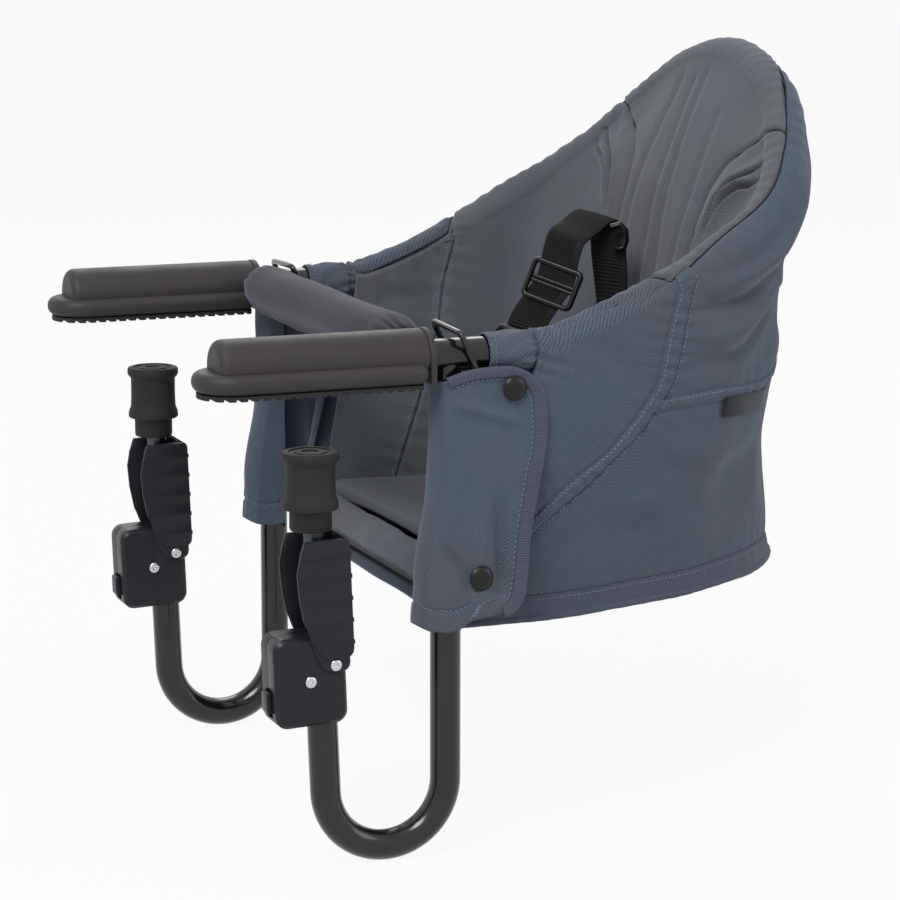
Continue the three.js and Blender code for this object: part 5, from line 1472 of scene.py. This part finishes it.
FLAP_REAR = np.array([(0.15, 74.5), (0.22, 75.6), (0.294, 75.3), (0.37, 73.2), (0.455, 70.3), (0.579, 66.8),
                      (0.703, 64), (0.82, 62.5), (0.9, 61)])
FLAP_TOP = np.array([(-14, -6), (-6, -1.3), (3, 2.5), (10, 4.8), (20, 7.8), (30, 9.3), (40, 9.6), (60, 9.5)])
FLAP_FOOT = np.array([(-16, -153), (-10, -156.5), (-3, -159), (8, -160.6), (16, -160), (20, -157.6),
                      (24, -154.6), (29, -152.6), (36, -152), (60, -151)])


def flap_reach(v):
    """How far back the flap's edge stands at each height, with a round corner above and below."""
    middle = np.interp(v, FLAP_REAR[:, 0], FLAP_REAR[:, 1])
    upper = 46 + 28.5 * np.sqrt(np.clip(1 - (1 - np.clip(v / 0.15, 0, 1)) ** 2, 0, 1))
    lower = 47 + 14 * np.sqrt(np.clip(1 - np.clip((v - 0.9) / 0.1, 0, 1) ** 2, 0, 1))
    return np.where(v < 0.15, upper, np.where(v > 0.9, lower, middle))


def flap_rest(sign):
    """The cloth flap round a hook's long leg, from its outer rear edge round the front to the inside."""
    def rest(u, v):
        v = np.clip(v, 0, 1)
        reach = flap_reach(v)
        front = HOOK_X - HOOK_RADIUS - 0.35 - 9.5 * ease(v, 0.3, 0.8) - 2.5 * ease(v, 0.82, 1)
        outer_y, inner_y = 15.4, 12.6
        t = np.clip(u / 0.5, 0, 1)
        x1 = reach + (front + 5.4 - reach) * t
        a = np.clip((u - 0.5) / 0.25, 0, 1) * math.pi
        y2 = 1.4 + 14.0 * np.cos(a)
        x2 = front + 5.4 - 5.4 * np.sin(a)
        t3 = np.clip((u - 0.75) / 0.25, 0, 1)
        x3 = front + 5.4 + (17.8 - front - 5.4) * t3
        x = np.where(u < 0.5, x1, np.where(u < 0.75, x2, x3))
        y = np.where(u < 0.5, outer_y, np.where(u < 0.75, y2, -inner_y))
        top = np.interp(x, FLAP_TOP[:, 0], FLAP_TOP[:, 1])
        foot = np.interp(x, FLAP_FOOT[:, 0], FLAP_FOOT[:, 1])
        return np.stack([x, sign * (HALF_SPAN + y), top + (foot - top) * v], axis=1)
    return rest


FLAP_TUCK = shares_route([(0.3, 0.925), (0.4, 0.915), (0.5, 0.91), (0.62, 0.905), (0.75, 0.905),
                          (0.98, 0.905)])


def make_flap(sign):
    flap = Cloth(flap_rest(sign), -sign, ((70, 0.5), (33, 0.35)), 21)
    flap.seam(FLAP_TUCK, depth=1.0, width=1.3, pucker=0.25, pitch=10, reach=6, both=False)

    def drape(u, v, points):
        x, z = points[:, 0], points[:, 2]
        front = bell(u - 0.6, 0.13)
        hang = 0.9 * np.sin(z / 17 + 5 * u) * front * ease(v, 0.25, 0.6)
        outer = (u < 0.5) * ease(0.5 - u, 0.0, 0.06)
        lower = ease(-z, 60, 105)
        valley = -3.8 * bell(x - 45 + 0.05 * (z + 110), 5.0) * lower * (1 - ease(-z, 130, 146))
        ridge = 2.3 * bell(x - 33, 6.5) * lower
        slant = -1.9 * bell(x - 12 - 0.62 * (-z - 112), 4.0) * bell(z + 114, 13)
        upper = 1.5 * bell(z + 17 + 0.32 * (x - 30), 4.5) * ease(x, 6, 20) * (1 - ease(x, 50, 62))
        snap = -1.2 * np.exp(-(((x - 31) ** 2 + (z + 126) ** 2) / 190))
        return hang + 1.5 * outer * (valley + ridge + slant + upper) + outer * snap
    flap.extra = drape
    return flap


def build_flaps():
    """Front flaps round the hooks, with bound edges, hem and stitches."""
    for tag, sign in SIDES:
        flap = make_flap(sign)
        sheet = laid_grid(f"front_flap_cloth_{tag}", 180, 190, lambda u, v: flap.place(u, v**1.25)[0],
                          150, 172, sign < 0)
        walled(sheet, 1.5)
        dress(sheet, cover_material(), f"front_flap_{tag}")
        build_flap_edge(flap, tag, sign)


def evenly(points, count):
    """Points spaced evenly along a line."""
    run = run_of(points)
    return read_at(np.linspace(0, run[-1], count), run, points)


def softened(rows, passes):
    """Rows of numbers, each drawn towards its neighbours."""
    for _ in range(passes):
        rows[1:-1] = (rows[:-2] + 2 * rows[1:-1] + rows[2:]) / 4
    return rows


def flap_edge(flap):
    """The flap's edge from its front, along the top, round the corner and down, with its normals."""
    top = np.linspace(0.5, 0, 200)
    side = np.linspace(0, 1, 700)[1:] ** 1.6
    u = np.concatenate([top, 0 * side])
    v = np.concatenate([0 * top, side])
    points, normals = flap.place(u, v)
    both = softened(evenly(np.hstack([points, normals * 20]), 300), 8)
    return both[:, :3], unit(both[:, 3:])


def build_flap_edge(flap, tag, sign):
    """The folded binding on a flap's edge, its stitches, and the hem with its zigzag bar."""
    centre, normal = flap_edge(flap)
    along = unit(np.gradient(centre, axis=0))
    inward = unit(np.cross(along, normal)) * -sign
    if np.dot(inward[150], centre.mean(axis=0) - centre[150]) < 0:
        inward = -inward
    index = np.arange(len(centre))

    def width_at(share):
        return 5.4 + 2.0 * ease(share, 0.1, 0.4)

    def place(u, v):
        at = v * index[-1]
        c, n, i = (read_at(at, index, rows) for rows in (centre, normal, inward))
        width = width_at(v) - 1.5 * ease(v, 0.93, 1)
        a = np.clip((u - 0.3) / 0.7, 0, 1)
        roll = np.clip((0.3 - u) / 0.3, 0, 1) * math.pi * 0.9
        across = np.where(u > 0.3, a * width, -1.9 * np.sin(roll))
        rise = np.where(u > 0.3, 2.2 - 0.9 * a**2 - 1.1 * ease(a, 0.86, 1), 0.3 + 1.9 * np.cos(roll))
        rise = rise + 0.12 * np.sin(v * 150) * (u > 0.3)
        return c + unit(i) * across[:, None] + unit(n) * rise[:, None]
    binding = laid_grid(f"flap_binding_{tag}", 26, 300, place, 13, 265, sign < 0)
    walled(binding, 0.5)
    dress(binding, binding_material(), body="arms")
    beside = width_at(np.linspace(0, 1, len(centre))[:, None]) + 1.1
    row = centre + inward * beside + normal * 0.35
    stitches(f"flap_stitches_{tag}", row[:-8], normal[:-8], "arms")
    sewn_row(f"flap_hem_stitches_{tag}", flap, FLAP_TUCK, 0.25, "arms")
    bar = shares_route([(0.03, 0.935), (0.1, 0.928), (0.2, 0.93), (0.25, 0.945)])
    sewn_row(f"flap_bar_stitches_{tag}", flap, bar, 0.25, "arms")
    zigzag = shares_route([(0.225 + 0.028 * (i % 2) + 0.001 * i, 0.945 + 0.0045 * i) for i in range(10)])
    sewn_row(f"flap_zigzag_{tag}", flap, zigzag, 0.3, "arms", pitch=1.8, length=2.0)


def build_snaps():
    """Domed snaps on the flaps."""
    profile = [(0, 2.95), (2.2, 2.88), (4.4, 2.55), (6.2, 1.95), (7.3, 1.25), (7.6, 0.9), (7.75, 0.75),
               (8.1, 0.72), (8.3, 0.45), (8.25, 0), (3, -0.6)]
    for tag, sign in SIDES:
        for place, x, z in (("upper", 53.5, -3), ("lower", 31, -126)):
            snap = turned(f"snap_domed_{place}_{tag}", profile, 48, "Y" if sign > 0 else "-Y")
            snap.data.transform(Matrix.Translation(Vector((x, sign * (HALF_SPAN + 17.4), z)) * MM))
            dress(snap, snap_material(), f"snap_{place}_{tag}")


def build_cuffs():
    """Cloth cuffs over the hinges."""
    for tag, sign in SIDES:
        def place(u, v):
            a = 2 * math.pi * u
            x = 38.5 + 37 * v
            wave = 0.35 * np.sin(7 * a + x / 5) * ease(v, 0.2, 0.4) + 0.5 * np.sin(x / 4.1 + 2 * np.cos(a))
            gather = 0.55 * np.sin(17 * a + 2 * np.sin(3 * a)) * ease(v, 0.5, 0.8)
            r = 13.3 + wave * ease(v, 0.02, 0.2) + gather + 0.5 * v
            r = r - 0.9 * bell(v - 0.165, 0.03) - 1.0 * (v < 0.01) - 1.9 * ease(v, 0.78, 0.88)
            return np.stack([x, sign * HALF_SPAN + r * np.cos(a), ARM_Z + r * np.sin(a)], axis=1)
        cuff = laid_grid(f"cuff_cloth_{tag}", 120, 60, place, 86, 37, True)
        weld(cuff, turn=False)
        walled(cuff, 1.2)
        coated(cuff, cover_material())
        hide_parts(f"sleeve_cuff_{tag}")
        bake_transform(cuff)
        turn = np.linspace(0, 2 * math.pi, 120)
        out = np.stack([0 * turn, np.cos(turn), np.sin(turn)], axis=1)
        ring = out * 13.5 + (43.2, sign * HALF_SPAN, ARM_Z)
        stitches(f"cuff_stitches_{tag}", ring, out, "arms", pitch=3.0)


BELT = Route([(126, 0, -127), (129, -1, -70), (134, -3, -20), (143, -4, 10), (152.5, -6, 25), (160.7, -8, 37.7),
              (165.1, -8, 56), (170, -6, 67), (184, 1, 74), (196, 6, 80), (203, 7, 79.5), (206, 5, 71),
              (205.6, 0, 52), (207, -3, 20), (206, -6, -50), (205, 0, -127)])
BELT_ACROSS = Route([(0.4, -0.9, 0), (0.6, -0.8, -0.1), (0.7, -0.7, -0.2), (0.7, -0.66, -0.25),
                     (0.66, -0.7, -0.28), (0.66, -0.7, -0.28), (0.66, -0.7, -0.3), (0.66, -0.7, -0.3),
                     (0.66, -0.7, -0.28), (0.66, -0.7, -0.28), (0.6, -0.78, -0.2), (0.6, -0.78, -0.15),
                     (0.6, -0.8, -0.1), (0.4, -0.9, 0), (0.2, -0.97, 0), (0, -1, 0)])


def strap(name, route, across, width, thickness, rows):
    """A flat strap along a route, with its own width direction, and a slight bow across it."""
    def place(u, v):
        centre = route.at(v, True)
        side = unit(across.at(v, True))
        facing = unit(np.cross(side, route.along(v, True)))
        bow = 0.6 * (1 - (2 * u - 1) ** 2)
        return centre + side * ((u - 0.5) * width)[:, None] + facing * bow[:, None]
    piece = laid_grid(name, 10, rows, place, width, route.length)
    walled(piece, thickness, 1.0)
    return rounded(piece, 0.35)


def belt_slide(name, node, knot):
    """A ladder slide round the webbing: a rounded frame with two bars."""
    centre = BELT.at(knot, True)[0]
    side = unit(BELT_ACROSS.at(knot, True))[0]
    along = BELT.along(knot, True)[0]
    facing = unit(np.cross(side, along)[None])[0]
    along = np.cross(facing, side)
    outline = []
    for right, top, start in ((1, 1, 0), (-1, 1, 90), (-1, -1, 180), (1, -1, 270)):
        for a in np.radians(np.linspace(start, start + 90, 8)):
            outline.append((right * 14.7 + 3.4 * math.cos(a), top * 9.7 + 3.4 * math.sin(a)))
    lift = 1.6 if facing @ np.array([-0.36, -0.91, 0.19]) > 0 else -1.6

    def world(x, y, out=0.0):
        return centre + side * x + along * y + facing * (lift + out)
    pieces = [tube("slide_frame", [world(x, y) for x, y in outline], 2.05, 16, closed=True)]
    for y in (-1.6, 1.6):
        pieces.append(tube("slide_bar", [world(x, y, -1.4) for x in np.linspace(-17, 17, 12)], 1.5, 14))
    dress(join(pieces, name), slide_material(), node)


def build_belt():
    """The belt with its slides, and the strap between the legs."""
    belt = strap("belt_webbing", BELT, BELT_ACROSS, 28, 1.7, 420)
    dress(belt, webbing_material(), "harness_webbing")
    belt_slide("belt_slide_upper_moulded", "belt_slide_upper", 0.318)
    belt_slide("belt_slide_lower_moulded", "belt_slide_lower", 0.15)
    hook = tube("belt_end_hook", [(203, -9, 73), (208, -12, 75), (211.5, -13.5, 71), (212, -14, 64),
                                  (210.5, -13.5, 58.5), (206.5, -12, 57.5), (205, -11, 60)], 2.4, 18)
    dress(hook, slide_material(), body="seat")
    leg = strap("leg_strap_webbing", Route([(112, 0, -128), (112, 0, -110), (112.5, 0, -90), (112, 0, -73)]),
                Route([(0, -1, 0), (0, -1, 0), (0, -1, 0), (0, -1, 0)]), 38, 2.6, 60)
    dress(leg, webbing_material(), "crotch_strap")


def build_tag():
    """The folded tag in the waist seam, left bare."""
    def place(u, v):
        along = 0.209 + 0.083 * u
        points = cover_rest(along, waist_at(along) + 0.012 + 0.05 * v)
        lift = 1.9 + 0.5 * np.sin(math.pi * u) * v + 0.5 * v
        return points + rim_frame(along)[1] * lift[:, None]
    tag = laid_grid("bare_tag", 60, 16, place, 62, 11)
    walled(tag, 0.8)
    rounded(tag, 0.25)
    dress(tag, tag_material(), "blank_tag")


def tag_material():
    return sewn_material("bare_tag_satin", tint(24, 24, 26), tint(31, 30, 32), pitch=0.0009, zones=20.0,
                         bump=0.2, rough=0.6, contrast=0.12)


FLOOR_Z = -0.3128
WHITE = (1, 1, 1, 1)
LAMPS = (("key", (-1.5, -1.7, 2.4), 1.3, 72), ("side", (2.1, -1.5, 1.0), 1.2, 12),
         ("back", (0.6, 2.2, 1.8), 1.4, 20))
LIT_POINT = Vector((0.08, 0, -0.05))


def seen_rays(t):
    """1 for rays that the camera sees, straight or mirrored, and 0 for light on the seat."""
    path = t.add("ShaderNodeLightPath")
    mirrored_rays = t.math("MAXIMUM", path.outputs["Is Glossy Ray"], path.outputs["Is Transmission Ray"])
    return t.math("MAXIMUM", path.outputs["Is Camera Ray"], mirrored_rays)


def build_stage():
    """Floor, backdrop, lamps and the camera."""
    scene = bpy.context.scene
    scene.view_settings.view_transform = "Standard"
    clear()
    bpy.ops.mesh.primitive_plane_add(size=30, location=(0, 0, FLOOR_Z))
    floor = settle(named(bpy.context.object, "floor"))
    material, t, shader = blank_material("pale_floor")
    t.fill(shader, {"Base Color": (0.7, 0.7, 0.7, 1), "Roughness": 0.9, "Specular IOR Level": 0.1})
    glow = t.add("ShaderNodeEmission", {"Color": WHITE, "Strength": 1.0})
    share = t.math("MULTIPLY", seen_rays(t), 0.92)
    blend = t.add("ShaderNodeMixShader", {0: share, 1: shader.outputs[0], 2: glow.outputs[0]})
    output = next(n for n in material.node_tree.nodes if n.type == "OUTPUT_MATERIAL")
    t.fill(output, {"Surface": blend.outputs[0]})
    floor.data.materials.append(material)
    scene.world = scene.world or bpy.data.worlds.new("plain_light")
    scene.world.use_nodes = True
    scene.world.node_tree.nodes.clear()
    w = Tree(scene.world.node_tree)
    strength = w.between(seen_rays(w), 0, 1, 0.46, 1.0)
    background = w.add("ShaderNodeBackground", {"Color": WHITE, "Strength": strength})
    w.add("ShaderNodeOutputWorld", {0: background.outputs[0]})
    for name, place, size, power in LAMPS:
        clear()
        bpy.ops.object.light_add(type="AREA", location=place)
        lamp = bpy.context.object
        lamp.name = f"{name}_lamp"
        lamp.data.size = size
        lamp.data.energy = power
        lamp.rotation_euler = (LIT_POINT - Vector(place)).to_track_quat("-Z", "Y").to_euler()
    clear()
    bpy.ops.object.camera_add(location=(-0.7435, -2.0978, 0.3523))
    camera = bpy.context.object
    right = Vector((0.93024, -0.36696, 0.00189))
    up = Vector((0.06734, 0.17576, 0.98213))
    camera.rotation_euler = Matrix((right, up, right.cross(up))).transposed().to_euler()
    camera.data.lens = 131.05
    camera.data.sensor_width = 36
    scene.camera = camera


class SEAT_OT_tubes(Operator):
    """Arm tubes, hook tubes, the crossbar and the wire bails"""

    bl_idname = "seat.tubes"
    bl_label = "Tubes"

    def execute(self, context):
        build_tubes()
        return {"FINISHED"}


class SEAT_OT_grips(Operator):
    """Rubber caps, beads, flanges and soles on the arms"""

    bl_idname = "seat.grips"
    bl_label = "Grips"

    def execute(self, context):
        build_grips()
        return {"FINISHED"}


class SEAT_OT_bumper(Operator):
    """The padded sleeve on the crossbar"""

    bl_idname = "seat.bumper"
    bl_label = "Bumper sleeve"

    def execute(self, context):
        build_bumper()
        return {"FINISHED"}


class SEAT_OT_clamps(Operator):
    """Clamp housings, levers, pawls and posts"""

    bl_idname = "seat.clamps"
    bl_label = "Clamps"

    def execute(self, context):
        build_clamps()
        return {"FINISHED"}


class SEAT_OT_rivets(Operator):
    """Rivets through the clamps"""

    bl_idname = "seat.rivets"
    bl_label = "Rivets"

    def execute(self, context):
        build_rivets()
        return {"FINISHED"}


class SEAT_OT_feet(Operator):
    """Rubber feet on the posts"""

    bl_idname = "seat.feet"
    bl_label = "Feet"

    def execute(self, context):
        build_feet()
        return {"FINISHED"}


class SEAT_OT_hinges(Operator):
    """Fold hinges under the cuffs"""

    bl_idname = "seat.hinges"
    bl_label = "Hinges"

    def execute(self, context):
        build_hinges()
        return {"FINISHED"}


class SEAT_OT_cover(Operator):
    """The outer cover in its four panels"""

    bl_idname = "seat.cover"
    bl_label = "Cover"

    def execute(self, context):
        build_cover()
        return {"FINISHED"}


class SEAT_OT_bands(Operator):
    """Sewn bands and stitches over the seams"""

    bl_idname = "seat.bands"
    bl_label = "Bands"

    def execute(self, context):
        build_bands()
        return {"FINISHED"}


class SEAT_OT_hem(Operator):
    """The bound hem and the sheet below the seat"""

    bl_idname = "seat.hem"
    bl_label = "Hem"

    def execute(self, context):
        build_hem()
        return {"FINISHED"}


class SEAT_OT_lining(Operator):
    """The wings and the channelled back pad"""

    bl_idname = "seat.lining"
    bl_label = "Lining"

    def execute(self, context):
        build_lining()
        return {"FINISHED"}


class SEAT_OT_cushion(Operator):
    """The filled and tufted seat cushion"""

    bl_idname = "seat.cushion"
    bl_label = "Cushion"

    def execute(self, context):
        build_cushion()
        return {"FINISHED"}


class SEAT_OT_flaps(Operator):
    """Cloth flaps round the hooks"""

    bl_idname = "seat.flaps"
    bl_label = "Flaps"

    def execute(self, context):
        build_flaps()
        return {"FINISHED"}


class SEAT_OT_snaps(Operator):
    """Domed snaps on the flaps"""

    bl_idname = "seat.snaps"
    bl_label = "Snaps"

    def execute(self, context):
        build_snaps()
        return {"FINISHED"}


class SEAT_OT_cuffs(Operator):
    """Cloth cuffs over the hinges"""

    bl_idname = "seat.cuffs"
    bl_label = "Cuffs"

    def execute(self, context):
        build_cuffs()
        return {"FINISHED"}


class SEAT_OT_belt(Operator):
    """Belt webbing, slides and leg strap"""

    bl_idname = "seat.belt"
    bl_label = "Belt"

    def execute(self, context):
        build_belt()
        return {"FINISHED"}


class SEAT_OT_tag(Operator):
    """The bare folded tag"""

    bl_idname = "seat.tag"
    bl_label = "Tag"

    def execute(self, context):
        build_tag()
        return {"FINISHED"}


class SEAT_OT_stage(Operator):
    """Floor, lamps and camera"""

    bl_idname = "seat.stage"
    bl_label = "Stage"

    def execute(self, context):
        build_stage()
        return {"FINISHED"}


PIECES = (
    SEAT_OT_tubes, SEAT_OT_grips, SEAT_OT_bumper, SEAT_OT_clamps, SEAT_OT_rivets, SEAT_OT_feet,
    SEAT_OT_hinges, SEAT_OT_cover, SEAT_OT_bands, SEAT_OT_hem, SEAT_OT_lining, SEAT_OT_cushion,
    SEAT_OT_flaps, SEAT_OT_snaps, SEAT_OT_cuffs, SEAT_OT_belt, SEAT_OT_tag, SEAT_OT_stage,
)


class SEAT_PT_pieces(Panel):
    """Lists the seat's pieces and sizes"""

    bl_idname = "SEAT_PT_pieces"
    bl_label = "Seat pieces"
    bl_space_type = "VIEW_3D"
    bl_region_type = "UI"
    bl_category = "Seat"

    def draw(self, context):
        for name in SeatFinish.__annotations__:
            self.layout.prop(context.scene.seat_finish, name)
        for piece in PIECES:
            self.layout.operator(piece.bl_idname)


CLASSES = (SeatFinish, *PIECES, SEAT_PT_pieces)


def register():
    for kind in CLASSES:
        bpy.utils.register_class(kind)
    bpy.types.Scene.seat_finish = PointerProperty(type=SeatFinish)


def unregister():
    del bpy.types.Scene.seat_finish
    for kind in reversed(CLASSES):
        bpy.utils.unregister_class(kind)


def main():
    """Builds every piece in order."""
    register()
    for piece in PIECES:
        getattr(bpy.ops.seat, piece.bl_idname.split(".")[1])()
    bpy.context.view_layer.update()


if __name__ == "__main__":
    main()
